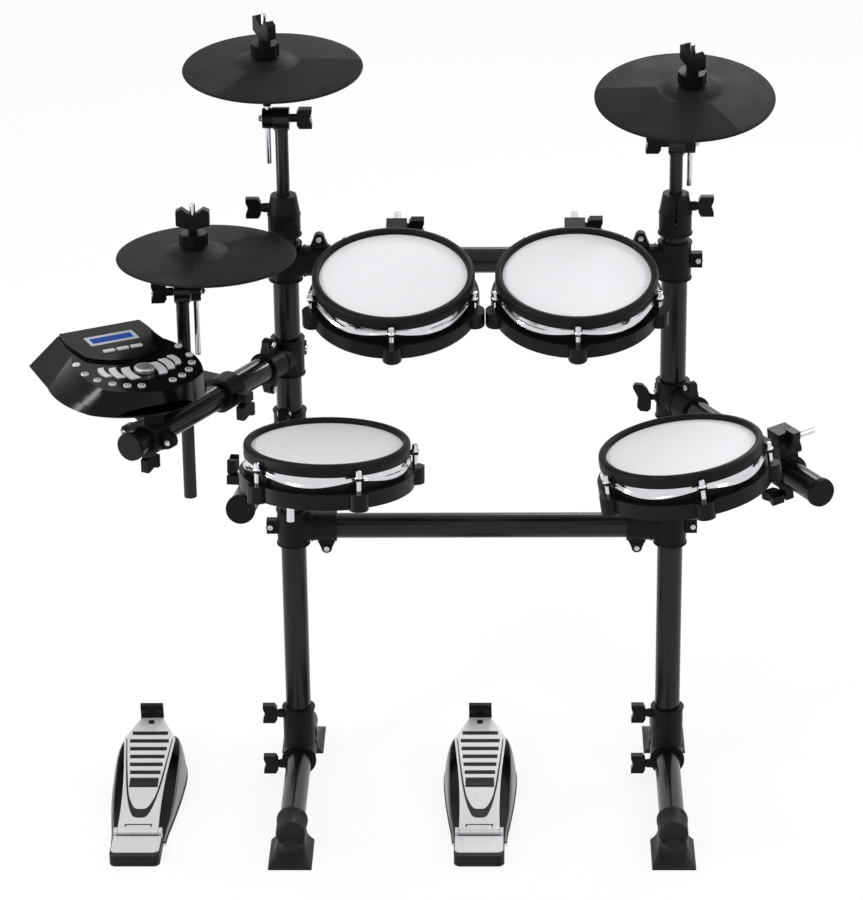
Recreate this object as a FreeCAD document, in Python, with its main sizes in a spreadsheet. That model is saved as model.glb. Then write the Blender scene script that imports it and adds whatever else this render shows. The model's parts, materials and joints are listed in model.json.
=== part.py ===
"""Electronic drum kit: two-post rack, four mesh pads, three cymbals, sound module and two pedals.

Millimetres. +X is the drummer's right, +Y points away from the drummer, +Z is up.
The origin is on the floor, midway between the two posts.
"""
import FreeCAD
import Part
import Sketcher
import math
import os
import re
from types import SimpleNamespace

from FreeCAD import Matrix, Placement, Rotation, Vector

SIZES = {
    # fits
    "fit_gap": 0.15,          # between pieces that stay together
    "run_gap": 0.3,           # between pieces that move
    # rack tubes
    "tube_d": 38.0,
    "tube_wall": 1.8,
    "post_gap": 567.3,        # post axis to post axis
    "bar_low_z": 423.0,
    "bar_high_z": 848.0,
    "floor_bar_z": 36.0,
    "floor_front": 299.0,     # front edge of the front foot, ahead of the posts
    "floor_rear": 152.0,
    # feet
    "foot_len": 89.0,
    "foot_w": 65.0,
    "foot_waist_w": 52.0,     # where the flared base meets the body
    "foot_waist_z": 10.0,
    "foot_top_w": 40.0,
    "socket_d": 45.0,
    "socket_len": 46.0,
    "socket_face": 6.0,
    # tee clamps
    "clamp_d": 48.0,
    "clamp_len": 58.0,
    "sleeve_d": 45.0,
    "sleeve_len": 66.0,
    "ear_d": 16.0,
    "ear_w": 13.0,
    "ear_drop": 35.0,
    "ear_root": 30.0,         # width of an ear where it leaves its sleeve
    # leg joints
    "leg_joint_top": 82.0,    # above the floor bar's axis
    "leg_joint_len": 51.0,
    "leg_bolt_up": 69.0,
    "leg_bolt_ahead": 13.0,
    "leg_bolt_low": 12.0,     # lower wing bolt under the bar's axis
    "boss_d": 14.0,
    "boss_len": 6.0,
    # post-top clamps
    "top_clamp_z": 888.0,
    "top_clamp_len": 62.0,
    "top_clamp_seat": 22.0,
    "top_clamp_d": 47.6,
    "top_clamp_end_d": 38.0,
    "top_clamp_bolt": 42.0,
    # wing bolts
    "wing_stem": 2.0,
    "tilt_stem": 9.0,         # longer stem of the tilters' wings
    "wing_hub_d": 13.0,
    "wing_hub": 3.0,
    "wing_span": 30.0,
    "wing_reach": 20.0,
    "wing_notch": 3.5,
    "wing_thick": 12.0,
    # arms on the posts
    "arm_len": 398.0,
    "cap_d": 40.0,
    "cap_len": 7.0,
    "module_arm_z": 700.0,
    "module_arm_turn": -120.4,
    "snare_arm_z": 585.0,
    "snare_arm_turn": -96.7,
    "snare_arm_rise": 6.0,
    "floor_arm_z": 630.0,
    "floor_arm_turn": -61.0,
    # rod clamps on arms and crossbar
    "grip_d": 52.0,
    "grip_len": 34.0,
    "grip_reach": 46.0,       # tube axis to rod axis
    "grip_w": 30.0,
    "grip_over": 18.0,        # top of the holder above the rod axis
    "grip_bolt": 10.0,        # wing bolt above the rod axis
    "grip_ear": 36.0,
    # pads
    "head_d": 210.0,          # open mesh
    "head_thick": 1.2,
    "rim_w": 9.5,
    "rim_up": 3.2,
    "rim_drop": 10.5,
    "hoop_h": 11.7,
    "shell_h": 55.0,
    "shell_wall": 4.0,
    "band_h": 22.0,
    "shell_over": 3.5,        # from here on, radii beyond the open mesh
    "band_over": 16.0,
    "mount_over": 57.0,       # tube axis
    "rod_over": 12.0,         # start of the mount rod
    "rod_end_over": 108.0,
    "leg_over": 45.0,         # upright leg of the snare's rod
    "lug_d": 27.0,
    "rod_d": 6.0,
    "rod_top": 1.0,           # tension rod's top under the head
    "claw_z": 13.0,
    "claw_len": 14.0,
    "claw_thick": 4.0,
    "rim_skirt": 4.0,
    "pad_rod_d": 11.0,
    "pad_rod_drop": 39.0,     # rod axis under the head
    "pad_boss_w": 32.0,
    "snare_leg_drop": 118.0,
    "rod_bend": 12.5,
    "tom_middle_x": 9.0,
    "tom_apart": 48.0,
    "tom_tilt": 14.5,
    "snare_at": 259.0,        # place of the clamp along its arm
    "snare_swing": 30.0,
    "snare_head_up": 97.0,
    "floor_tom_at": 303.0,
    "floor_tom_tilt": 6.3,
    "floor_tom_roll": 5.1,
    # cymbals and their stands
    "stand_d": 19.0,
    "stand_wall": 1.5,
    "stand_in_post": 120.0,
    "crash_left_z": 1066.0,
    "crash_right_z": 1026.0,
    "crash_left_tilt": 5.4,
    "crash_right_tilt": 11.5,
    "hihat_z": 842.0,
    "hihat_turn": 186.0,
    "hihat_at": 165.0,        # place of the stand clamp along the module arm
    "hihat_reach": 68.0,
    "hihat_low_z": 520.0,
    "barrel_d": 32.0,
    "barrel_len": 24.0,
    "cymbal_rod_d": 8.0,
    "cymbal_rod_len": 230.0,
    "stop_pin_d": 3.0,        # cross pin on which the cymbal rocks
    "cymbal_rod_side": 19.5,
    "cymbal_rod_over": 77.0,  # rod tip above the cymbal's edge
    "crash_rise": 83.0,       # cymbal's edge above the tilt axis
    "hihat_rise": 55.0,
    "cymbal_d": 257.0,
    "cymbal_bow": 7.0,
    "cymbal_thick": 3.6,
    "bell_d": 90.0,
    "bell_h": 5.0,
    "bell_offset": 20.0,
    "bell_hole_d": 14.0,
    "jack_len": 30.0,
    "jack_w": 20.0,
    "jack_h": 12.0,
    "crash_left_strike": 304.0,
    "crash_right_strike": 238.0,
    "hihat_strike": 334.0,
    "collar_d": 41.0,
    "collar_h": 19.0,
    "felt_d": 29.0,
    "rock_gap": 0.85,         # room for the cymbal to rock
    "wing_nut_span": 48.0,
    "wing_nut_h": 38.0,
    "wing_nut_ear": 13.0,     # lower edge of its ears
    "wing_nut_dip": 27.0,
    # sound module
    "module_turn": 30.0,
    "module_tilt": 4.0,
    "module_roll": 1.2,
    "module_z": 797.5,
    "module_x": -463.5,
    "module_y": -301.7,
    "module_h": 45.0,
    "module_split": 32.0,
    "module_wall": 3.0,
    "module_clamp_at": 350.0,
    "case_rear": 154.0,       # deck outline, then the wider foot
    "case_rear_low": 168.0,
    "case_corner": 64.0,
    "case_corner_low": 102.0,
    "case_side": 87.0,
    "case_side_low": 106.0,
    "case_flank": 70.0,
    "case_flank_low": 107.0,
    "case_flank_y": 90.0,
    "case_waist": 25.0,
    "case_shoulder": 74.0,
    "case_shoulder_low": 88.0,
    "case_dip": 35.0,
    "case_dip_low": 15.0,
    "case_front": 67.0,
    "case_front_low": 51.0,
    "platform_rear_w": 124.0,
    "platform_w": 129.0,
    "platform_h": 4.0,
    "platform_front": 37.0,
    "platform_side": 67.0,
    "lcd_w": 74.0,
    "lcd_len": 29.0,
    "lcd_y": 110.0,
    "screen_w": 63.0,
    "screen_len": 17.0,
    "key_gap": 0.35,
    "key_travel": 1.5,
    "key_up": 2.0,
    "key_low": 8.0,
    "blade_first": 17.5,      # dial axis to the first curved key
    "blade_step": 5.0,
    "blade_lift": 8.0,
    "blade_w": 13.0,
    "blade_len": 37.0,
    "blade_taper": 2.0,
    "blade_bow": 3.5,
    "lcd_key_w": 17.0,
    "lcd_key_len": 7.0,
    "lcd_key_y": 72.0,
    "lcd_key_pitch": 21.0,
    "ring_d": 161.4,          # circle of round buttons
    "ring_y": 34.5,
    "button_d": 11.0,
    "dial_d": 27.5,
    "dial_h": 6.5,
    "board_z": 14.0,
    # pedals
    "kick_x": -4.0,
    "hihat_pedal_x": -514.5,
    "pedal_heel_y": -289.0,
    "pedal_hinge": 67.0,      # hinge behind the heel's front edge
    "pedal_hinge_z": 22.0,
    "pedal_heel_w": 75.0,
    "pedal_w": 113.0,
    "pedal_len": 347.0,
    "pedal_floor": 8.0,
    "pedal_wall_h": 50.0,
    "board_short": 75.0,      # footboard shorter than the pedal
    "board_w": 79.0,
    "board_heel_w": 72.0,
    "board_waist_w": 60.0,
    "board_toe_w": 36.0,
    "board_thick": 3.0,
    "board_rise": 11.0,
    "toe_w": 35.0,
    "toe_h": 24.0,
    "toe_thick": 7.0,
    "heel_strip": 16.0,       # ribbed rubber ahead of the heel plate
    "hinge_cheek": 5.0,
    "pin_d": 5.0,
    "barrel_r": 6.0,
    "board_low": 1.5,
    "board_side_gap": 2.0,
    "slot_w": 60.0,
    "slot_len": 9.3,
    "pedal_bumper_h": 32.0,
}

doc = FreeCAD.newDocument("electronic_drum_kit")
sheet = doc.addObject("Spreadsheet::Sheet", "dims")
for row, (alias, amount) in enumerate(SIZES.items(), start=1):
    sheet.set(f"A{row}", alias)
    sheet.set(f"B{row}", str(amount))
    sheet.setAlias(f"B{row}", alias)
doc.recompute()
S = SimpleNamespace(**{alias: float(sheet.get(alias)) for alias in SIZES})

X_AXIS = Vector(1, 0, 0)
Y_AXIS = Vector(0, 1, 0)
Z_AXIS = Vector(0, 0, 1)
ALONG_X = Rotation(Y_AXIS, 90)
ALONG_Y = Rotation(X_AXIS, -90)
HALF_TURN = Rotation(Z_AXIS, 180)
NODES = []


def rule(text):
    """An expression on the sheet, from a text in the sheet's own words."""
    return re.sub(r"[a-z_]+", lambda m: f"dims.{m[0]}" if m[0] in SIZES else m[0], text)


def bind(obj, **rules):
    for prop, text in rules.items():
        obj.setExpression(prop, rule(text))
    return obj


def at(x=0.0, y=0.0, z=0.0, turn=None):
    return Placement(Vector(x, y, z), turn or Rotation())


def axes(origin, x_axis, z_axis):
    """Placement with its origin and its X and Z directions given."""
    y_axis = z_axis.cross(x_axis)
    return Placement(Matrix(x_axis.x, y_axis.x, z_axis.x, origin.x,
                            x_axis.y, y_axis.y, z_axis.y, origin.y,
                            x_axis.z, y_axis.z, z_axis.z, origin.z,
                            0, 0, 0, 1))


def cylinder(name, radius, height, place=None):
    obj = bind(doc.addObject("Part::Cylinder", name), Radius=radius, Height=height)
    obj.Placement = place or Placement()
    return obj


def cone(name, low, high, height, place=None):
    obj = bind(doc.addObject("Part::Cone", name), Radius1=low, Radius2=high, Height=height)
    obj.Placement = place or Placement()
    return obj


def box(name, length, width, height, place):
    """Box with its middle at the placement."""
    obj = bind(doc.addObject("Part::Box", name), Length=length, Width=width, Height=height)
    doc.recompute([obj])
    middle = Vector(obj.Length.Value, obj.Width.Value, obj.Height.Value) * -0.5
    obj.Placement = place.multiply(Placement(middle, Rotation()))
    return obj


def fuse(name, pieces, place=None):
    obj = doc.addObject("Part::MultiFuse", name)
    obj.Shapes = pieces
    obj.Refine = True
    obj.Placement = place or Placement()
    return obj


def cut(name, base, tools, place=None):
    obj = doc.addObject("Part::Cut", name)
    obj.Base = base
    obj.Tool = tools[0] if len(tools) == 1 else fuse(name + "_tools", tools)
    obj.Refine = True
    obj.Placement = place or Placement()
    return obj


def compound(name, pieces, place=None):
    obj = doc.addObject("Part::Compound", name)
    obj.Links = pieces
    obj.Placement = place or Placement()
    return obj


def node(name, pieces, place=None):
    """One sub-part of the kit: its pieces stay separate solids."""
    obj = compound(name, pieces, place)
    obj.Label = name
    NODES.append(obj)
    return obj


def tube(name, outside, wall, length, place=None):
    skin = cylinder(name + "_outside", f"({outside}) / 2", length)
    bore = cylinder(name + "_inside", f"({outside}) / 2 - ({wall})", length)
    return cut(name, skin, [bore], place)


def sketch_in(body, name, plane, outline):
    """Closed sketch through points that are each held by two rules."""
    sketch = body.newObject("Sketcher::SketchObject", name)
    support = next(f for f in body.Origin.OriginFeatures if f.Role == plane)
    sketch.AttachmentSupport = [(support, "")]
    sketch.MapMode = "FlatFace"
    count = len(outline)
    spots = [Vector(x, y, 0) for x, y in polygon(count, 1)]
    for i in range(count):
        sketch.addGeometry(Part.LineSegment(spots[i], spots[(i + 1) % count]))
    for i in range(count):
        sketch.addConstraint(Sketcher.Constraint("Coincident", i, 2, (i + 1) % count, 1))
    for i, (across, up) in enumerate(outline):
        for kind, value, text in (("DistanceX", spots[i].x, across), ("DistanceY", spots[i].y, up)):
            held = sketch.addConstraint(Sketcher.Constraint(kind, -1, 1, i, 1, value))
            sketch.setExpression(f"Constraints[{held}]", rule(text))
    return sketch


def turned(name, profile, place=None):
    """Body turned about its Z axis from a profile of radius and height rules."""
    body = doc.addObject("PartDesign::Body", name)
    sketch = sketch_in(body, name + "_profile", "XZ_Plane", profile)
    turn = body.newObject("PartDesign::Revolution", name + "_turn")
    turn.Profile = sketch
    turn.ReferenceAxis = (sketch, ["V_Axis"])
    turn.Angle = 360
    body.Tip = turn
    body.Placement = place or Placement()
    return body


def plate(name, outline, thickness, plane="XY_Plane", place=None):
    """Body padded both ways from an outline."""
    body = doc.addObject("PartDesign::Body", name)
    sketch = sketch_in(body, name + "_outline", plane, outline)
    pad = body.newObject("PartDesign::Pad", name + "_pad")
    pad.Profile = sketch
    pad.Midplane = True
    pad.setExpression("Length", rule(thickness))
    body.Tip = pad
    body.Placement = place or Placement()
    return body


def shaped(name, shape, place=None):
    """Piece whose shape is worked out from the sheet's sizes."""
    obj = doc.addObject("Part::Feature", name)
    obj.Shape = shape
    obj.Placement = place or Placement()
    return obj


def prism(wire, low, high):
    """Solid on a flat wire, between two heights."""
    face = Part.Face(wire)
    face.translate(Vector(0, 0, low))
    return face.extrude(Vector(0, 0, high - low))


def outline_wire(points, z=0.0):
    """Closed wire: a pair is a corner, and a pair of pairs is an arc's middle and end."""
    edges = []
    start = Vector(*points[0], z)
    for item in points[1:] + points[:1]:
        if isinstance(item[0], tuple):
            middle, end = (Vector(*p, z) for p in item)
            edges.append(Part.Arc(start, middle, end).toShape())
        else:
            end = Vector(*item, z)
            edges.append(Part.LineSegment(start, end).toShape())
        start = end
    return Part.Wire(edges)


def many_sided(name, sides, radius, height, place=None):
    obj = bind(doc.addObject("Part::Prism", name), Circumradius=radius, Height=height)
    obj.Polygon = sides
    obj.Placement = place or Placement()
    return obj


def wing_bolt(name, place, stem="wing_stem"):
    """Wing bolt along its own Z, from its seat: hub, and a wing with a notch between two ears."""
    hub = many_sided(name + "_hub", 8, "wing_hub_d / 2", f"{stem} + wing_hub")
    low = f"{stem} + wing_hub - 2"
    high = f"{stem} + wing_hub + wing_reach"
    wing = plate(name + "_wing", [
        ("-wing_span * 0.3", low), ("wing_span * 0.3", low), ("wing_span / 2", f"{low} + wing_notch"),
        ("wing_span / 2", high), ("wing_span * 0.3", high), ("0", f"{high} - wing_notch"),
        ("-wing_span * 0.3", high), ("-wing_span / 2", high), ("-wing_span / 2", f"{low} + wing_notch"),
    ], "wing_thick", "XZ_Plane")
    return fuse(name, [hub, wing], place)


def tee_clamp(name, place, bore_gap, rise=0.0, ears=(-1,)):
    """Tee clamp: a collar round a post (Z) and a sleeve round a tube that leaves along X."""
    half = S.clamp_len / 2
    lean = Placement(Vector(), Rotation(Y_AXIS, -rise))
    along = lean.multiply(at(turn=ALONG_X))
    ear_x = S.sleeve_len - S.ear_d
    back = S.clamp_d / 2 + S.ear_d / 2
    solids = [
        cylinder(name + "_collar", "clamp_d / 2", "clamp_len", at(z=-half)),
        cylinder(name + "_sleeve", "sleeve_d / 2", "sleeve_len", along),
        box(name + "_back_ear", "ear_d + 6", "ear_w", "ear_d + 6", at(x=3 - back)),
    ]
    for side in ears:
        solids.append(cylinder(f"{name}_ear{side}", "ear_d / 2", "ear_w",
                               lean.multiply(at(ear_x, -S.ear_w / 2, side * S.ear_drop, ALONG_Y))))
        solids.append(plate(f"{name}_web{side}", [
            ("-ear_root / 2", f"{side} * tube_d / 2"), ("ear_root / 2", f"{side} * tube_d / 2"),
            ("ear_d / 2", f"{side} * ear_drop"), ("-ear_d / 2", f"{side} * ear_drop"),
        ], "ear_w", "XZ_Plane", lean.multiply(at(x=ear_x))))
    bores = [
        cylinder(name + "_post_bore", f"tube_d / 2 + {bore_gap}", "clamp_len + 2", at(z=-half - 1)),
        cylinder(name + "_tube_bore", "tube_d / 2 + fit_gap", "sleeve_len + 1", along),
    ]
    return cut(name, fuse(name + "_body", solids), bores, place)


def rack():
    """Posts, bars, feet and the clamps that join them."""
    post_x = S.post_gap / 2
    post_low = S.floor_bar_z + S.tube_d / 2 + 1
    tubes = []
    for side, x in (("left", -post_x), ("right", post_x)):
        tubes.append(tube(f"post_{side}", "tube_d", "tube_wall",
                          "top_clamp_z + top_clamp_seat - floor_bar_z - tube_d / 2 - 1 - fit_gap",
                          at(x, 0, post_low)))
        tubes.append(tube(f"floor_bar_{side}", "tube_d", "tube_wall",
                          "floor_front + floor_rear - 2 * (foot_len - socket_len + socket_face + fit_gap)",
                          at(x, -S.floor_front + S.foot_len - S.socket_len + S.socket_face + S.fit_gap,
                             S.floor_bar_z, ALONG_Y)))
    reach = post_x - S.tube_d / 2 - S.tube_wall
    for level, z in (("low", S.bar_low_z), ("high", S.bar_high_z)):
        tubes.append(tube(f"crossbar_{level}", "tube_d", "tube_wall", "post_gap - tube_d - 2 * tube_wall",
                          at(-reach, 0, z, ALONG_X)))
    node("rack_tubes", tubes)

    feet = []
    for side, x in (("left", -post_x), ("right", post_x)):
        for end, y, turn in (("front", -S.floor_front, None), ("rear", S.floor_rear, HALF_TURN)):
            feet.append(rubber_foot(f"foot_{side}_{end}", at(x, y, 0, turn)))
    node("rubber_feet", feet)

    node("leg_joints", [leg_joint("leg_joint_left", at(-post_x, 0, S.floor_bar_z)),
                        leg_joint("leg_joint_right", at(post_x, 0, S.floor_bar_z))])

    clamps = []
    for level, z, ear in (("low", S.bar_low_z, -1), ("high", S.bar_high_z, 1)):
        clamps.append(tee_clamp(f"tee_{level}_left", at(-post_x, 0, z), "fit_gap", ears=(ear,)))
        clamps.append(tee_clamp(f"tee_{level}_right", at(post_x, 0, z, HALF_TURN), "fit_gap", ears=(ear,)))
    node("crossbar_clamps", clamps)

    node("post_top_clamps", [top_clamp("top_clamp_left", at(-post_x, 0, S.top_clamp_z, HALF_TURN)),
                             top_clamp("top_clamp_right", at(post_x, 0, S.top_clamp_z))])

    outward = S.clamp_d / 2 + S.boss_len + S.fit_gap
    wings = []
    for side, x in (("left", -post_x), ("right", post_x)):
        for level, y, z in (("upper", 0, S.leg_bolt_up), ("lower", -S.leg_bolt_ahead, -S.leg_bolt_low)):
            wings.append(wing_bolt(f"leg_wing_{side}_{level}",
                                   axes(Vector(x - outward, y, S.floor_bar_z + z), Z_AXIS, Vector(-1, 0, 0))))
    for side, x, way in (("left", -post_x, -1), ("right", post_x, 1)):
        wings.append(wing_bolt(f"top_wing_{side}", axes(
            Vector(x + way * outward, 0, S.top_clamp_z + S.top_clamp_bolt), Z_AXIS, Vector(way, 0, 0))))
    node("rack_wing_bolts", wings)


def rubber_foot(name, place):
    """Foot with its toe at the origin and the bar's socket behind, along +Y: flared base, body and socket."""
    socket_y = S.foot_len - S.socket_len
    levels = [(S.foot_w, 0, S.foot_len, 0), (S.foot_waist_w, socket_y / 2, S.foot_len, S.foot_waist_z),
              (S.foot_top_w, socket_y, S.foot_len, S.floor_bar_z)]
    base = shaped(name + "_base", Part.makeLoft([
        outline_wire([(-w / 2, front), (w / 2, front), (w / 2, rear), (-w / 2, rear)], z)
        for w, front, rear, z in levels], True, True))
    socket = cylinder(name + "_socket", "socket_d / 2", "socket_len", at(0, socket_y, S.floor_bar_z, ALONG_Y))
    bore = cylinder(name + "_bore", "tube_d / 2 + fit_gap", "socket_len",
                    at(0, socket_y + S.socket_face, S.floor_bar_z, ALONG_Y))
    return cut(name, fuse(name + "_body", [base, socket]), [bore], place)


def leg_joint(name, place):
    """Joint of a post (Z) and its floor bar (Y), with bosses for two wing bolts on the left."""
    out = -S.clamp_d / 2 - S.boss_len
    solids = [
        cylinder(name + "_upright", "clamp_d / 2", "leg_joint_top"),
        cylinder(name + "_level", "clamp_d / 2 + 1", "leg_joint_len",
                 at(y=-S.leg_joint_len / 2, turn=ALONG_Y)),
        cylinder(name + "_boss_upper", "boss_d / 2", "boss_len + tube_wall * 2",
                 at(out, 0, S.leg_bolt_up, ALONG_X)),
        cylinder(name + "_boss_lower", "boss_d / 2", "boss_len + leg_bolt_low",
                 at(out, -S.leg_bolt_ahead, -S.leg_bolt_low, ALONG_X)),
    ]
    bores = [
        cylinder(name + "_post_bore", "tube_d / 2 + fit_gap", "leg_joint_top"),
        cylinder(name + "_bar_bore", "tube_d / 2 + fit_gap", "leg_joint_len + 2",
                 at(y=-S.leg_joint_len / 2 - 1, turn=ALONG_Y)),
    ]
    return cut(name, fuse(name + "_body", solids), bores, place)


def top_clamp(name, place):
    """Bullet-shaped clamp on a post's top, with a bore for the stand tube and a boss on the +X side."""
    body = turned(name + "_body", [
        ("tube_d / 2 + fit_gap", "0"), ("top_clamp_d / 2", "0"), ("top_clamp_d / 2", "top_clamp_len * 0.55"),
        ("top_clamp_end_d / 2", "top_clamp_len"), ("stand_d / 2 + run_gap", "top_clamp_len"),
        ("stand_d / 2 + run_gap", "top_clamp_seat"), ("tube_d / 2 + fit_gap", "top_clamp_seat"),
    ])
    boss = cylinder(name + "_boss", "boss_d / 2", "clamp_d / 2 + boss_len - stand_d",
                    at(S.stand_d, 0, S.top_clamp_bolt, ALONG_X))
    slot = box(name + "_slot", "3", "top_clamp_d", "top_clamp_len", at(0, -S.top_clamp_d / 2 - S.stand_d / 4,
                                                                     S.top_clamp_len * 0.72))
    return cut(name, fuse(name + "_solid", [body, boss]), [slot], place)


def arm(name, side, z, turn, rise=0.0):
    """Arm that swings on a post: tee clamp, tube and end cap. Its own X runs along the arm."""
    place = at(side * S.post_gap / 2, 0, z, Rotation(Z_AXIS, turn))
    lean = Placement(Vector(), Rotation(Y_AXIS, -rise))
    start = S.tube_d / 2 + 4
    bar = tube(name + "_tube", "tube_d", "tube_wall", "arm_len - cap_len - tube_d / 2 - 4",
               lean.multiply(at(x=start, turn=ALONG_X)))
    plug = cylinder(name + "_plug", "tube_d / 2 - tube_wall - fit_gap", "cap_len * 2",
                    lean.multiply(at(x=S.arm_len - 2 * S.cap_len, turn=ALONG_X)))
    face = cylinder(name + "_face", "cap_d / 2", "cap_len - fit_gap",
                    lean.multiply(at(x=S.arm_len - S.cap_len + S.fit_gap, turn=ALONG_X)))
    clamp = tee_clamp(name + "_clamp", Placement(), "run_gap", rise, ears=(-1, 1))
    return place, [clamp, bar, fuse(name + "_cap", [plug, face])]


def rod_grip(name, place, wing_way, reach="grip_reach", rod="pad_rod_d", rod_gap="fit_gap"):
    """Clamp on a tube along Y: a holder above it (Z) with a hole along X, and below an ear with a wing."""
    up = {"grip_reach": S.grip_reach, "hihat_reach": S.hihat_reach}[reach]
    hole = {"pad_rod_d": S.pad_rod_d, "stand_d": S.stand_d}[rod]
    half = S.grip_len / 2
    holder_top = up + S.grip_over
    low = S.grip_ear
    solids = [
        cylinder(name + "_collar", "grip_d / 2", "grip_len", at(y=-half, turn=ALONG_Y)),
        box(name + "_holder", f"grip_w + {rod} - pad_rod_d", "grip_w", f"{reach} + grip_over - tube_d / 2",
            at(z=(holder_top + S.tube_d / 2) / 2)),
        box(name + "_ear", "ear_w", "grip_w * 0.6", "grip_ear + ear_d / 2 - tube_d / 2",
            at(z=-(low + S.ear_d / 2 + S.tube_d / 2) / 2)),
    ]
    bores = [
        cylinder(name + "_tube_bore", "tube_d / 2 + run_gap", "grip_len + 2", at(y=-half - 1, turn=ALONG_Y)),
        cylinder(name + "_rod_bore", f"{rod} / 2 + {rod_gap}", "grip_w * 2", at(-S.grip_w, 0, up, ALONG_X)),
    ]
    body = cut(name, fuse(name + "_body", solids), bores, place)
    bolt_z = up + max(S.grip_bolt, (hole + S.wing_hub_d) / 2)
    side_wing = wing_bolt(name + "_side_wing", place.multiply(axes(
        Vector(0, -S.grip_w / 2 - S.fit_gap, bolt_z), Z_AXIS, -Y_AXIS)))
    ear_wing = wing_bolt(name + "_ear_wing", place.multiply(axes(
        Vector(wing_way * (S.ear_w / 2 + S.fit_gap), 0, -low), Y_AXIS, X_AXIS * wing_way)))
    return [body, side_wing, ear_wing]


def beyond_head(over):
    """Distance from a pad's axis to a point that lies past the open mesh."""
    return S.head_d / 2 + over


def pad(name, place, grip_place, wing_way, bent=False):
    """Mesh pad. Its own Z is the head's normal, and its own X points to its mount."""
    shell_r = "head_d / 2 + shell_over"
    band_r = "head_d / 2 + band_over"
    rim_r = "head_d / 2 + rim_w"
    under_head = "-head_thick - run_gap"
    cup = turned(name + "_cup", [
        ("0", "-shell_h"), (band_r, "-shell_h"), (band_r, "band_h - shell_h"),
        (shell_r, "band_h - shell_h"), (shell_r, under_head), ("0", under_head),
    ])
    ring = beyond_head(S.band_over)
    spins = [Placement(Vector(), Rotation(Z_AXIS, angle)) for angle in (36, 108, 180, 252, 324)]
    lug_over = 1.0
    lugs = [cylinder(f"{name}_lug{i}", "lug_d / 2", f"band_h + 2 * {lug_over}",
                     spin.multiply(at(x=ring, z=-S.shell_h - lug_over))) for i, spin in enumerate(spins)]
    rod_z = -S.pad_rod_drop
    boss = box(name + "_boss", "2 * rod_over", "pad_boss_w", "pad_boss_w * 0.8",
               at(x=ring + S.shell_wall, z=rod_z))
    sides = 32
    hollow = many_sided(name + "_hollow", sides, f"{shell_r} - shell_wall", "shell_h",
                        at(z=S.shell_wall - S.shell_h))
    socket = cylinder(name + "_rod_socket", "pad_rod_d / 2 + fit_gap", "2 * rod_over",
                      at(beyond_head(S.rod_over) - 1, 0, rod_z, ALONG_X))
    shell = cut(name + "_shell_body", fuse(name + "_shell_solid", [cup, boss] + lugs), [hollow, socket])
    side_turn = 180 / sides
    bridge_z = -S.shell_h * 0.55
    bridge_len = f"2 * ({shell_r} - shell_wall) * cos({side_turn}) - 2 * fit_gap"
    bridge = box(name + "_bridge", bridge_len, "band_h", "shell_wall",
                 at(z=bridge_z, turn=Rotation(Z_AXIS, side_turn)))
    foam = many_sided(name + "_foam", 8, "band_over", f"{-bridge_z} - shell_wall / 2 - head_thick - run_gap",
                      at(z=bridge_z + S.shell_wall / 2))
    rim = turned(name + "_rim", [
        ("head_d / 2", "fit_gap"), ("head_d / 2", "rim_up"), (rim_r, "rim_up"), (rim_r, "-rim_drop"),
        (f"{rim_r} - rim_skirt", "-rim_drop"), (f"{rim_r} - rim_skirt", "fit_gap"),
    ])
    grip = rod_grip(name + "_grip", grip_place, wing_way)
    node(name + "_shell", [shell, bridge, foam, rim] + grip, place)

    hoop_in = f"{shell_r} + 2"
    hoop_out = f"{rim_r} - 1.6"
    hoop_top = "-rim_drop - fit_gap"
    hoop_low = f"{hoop_top} - hoop_h"
    hoop_pieces = [turned(name + "_hoop_ring", [
        (hoop_in, hoop_top), (hoop_out, hoop_top), (hoop_out, hoop_low), (hoop_in, hoop_low),
    ])]
    lug_top = S.band_h + lug_over - S.shell_h
    for i, spin in enumerate(spins):
        hoop_pieces.append(box(f"{name}_claw{i}", "claw_len", "rod_d * 2", "claw_thick",
                               spin.multiply(at(x=beyond_head(S.rim_w) + S.claw_len / 2 - 3, z=-S.claw_z))))
        hoop_pieces.append(many_sided(f"{name}_rod{i}", 6, "rod_d * 0.6",
                                      f"shell_h - band_h - {lug_over} - rod_top - fit_gap",
                                      spin.multiply(at(x=ring, z=lug_top + S.fit_gap))))
    hoop = fuse(name + "_hoop_body", hoop_pieces)
    start = beyond_head(S.rod_over)
    if bent:
        leg_x = beyond_head(S.leg_over)
        level = cylinder(name + "_rod_level", "pad_rod_d / 2", "leg_over - rod_bend - rod_over",
                         at(start, 0, rod_z, ALONG_X))
        elbow = doc.addObject("Part::Torus", name + "_rod_elbow")
        bind(elbow, Radius1="rod_bend", Radius2="pad_rod_d / 2")
        elbow.Angle3 = 90
        elbow.Placement = at(leg_x - S.rod_bend, 0, rod_z - S.rod_bend, Rotation(X_AXIS, 90))
        leg = cylinder(name + "_rod_leg", "pad_rod_d / 2", "snare_leg_drop - rod_bend",
                       at(leg_x, 0, rod_z - S.snare_leg_drop))
        rod = fuse(name + "_rod", [level, elbow, leg])
    else:
        rod = cylinder(name + "_rod", "pad_rod_d / 2", "rod_end_over - rod_over",
                       at(start, 0, rod_z, ALONG_X))
    node(name + "_hoop", [hoop, rod], place)

    head = many_sided(name + "_mesh", sides, f"{shell_r} - 1", "head_thick", at(z=-S.head_thick))
    node(name + "_head", [head], place)


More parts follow.
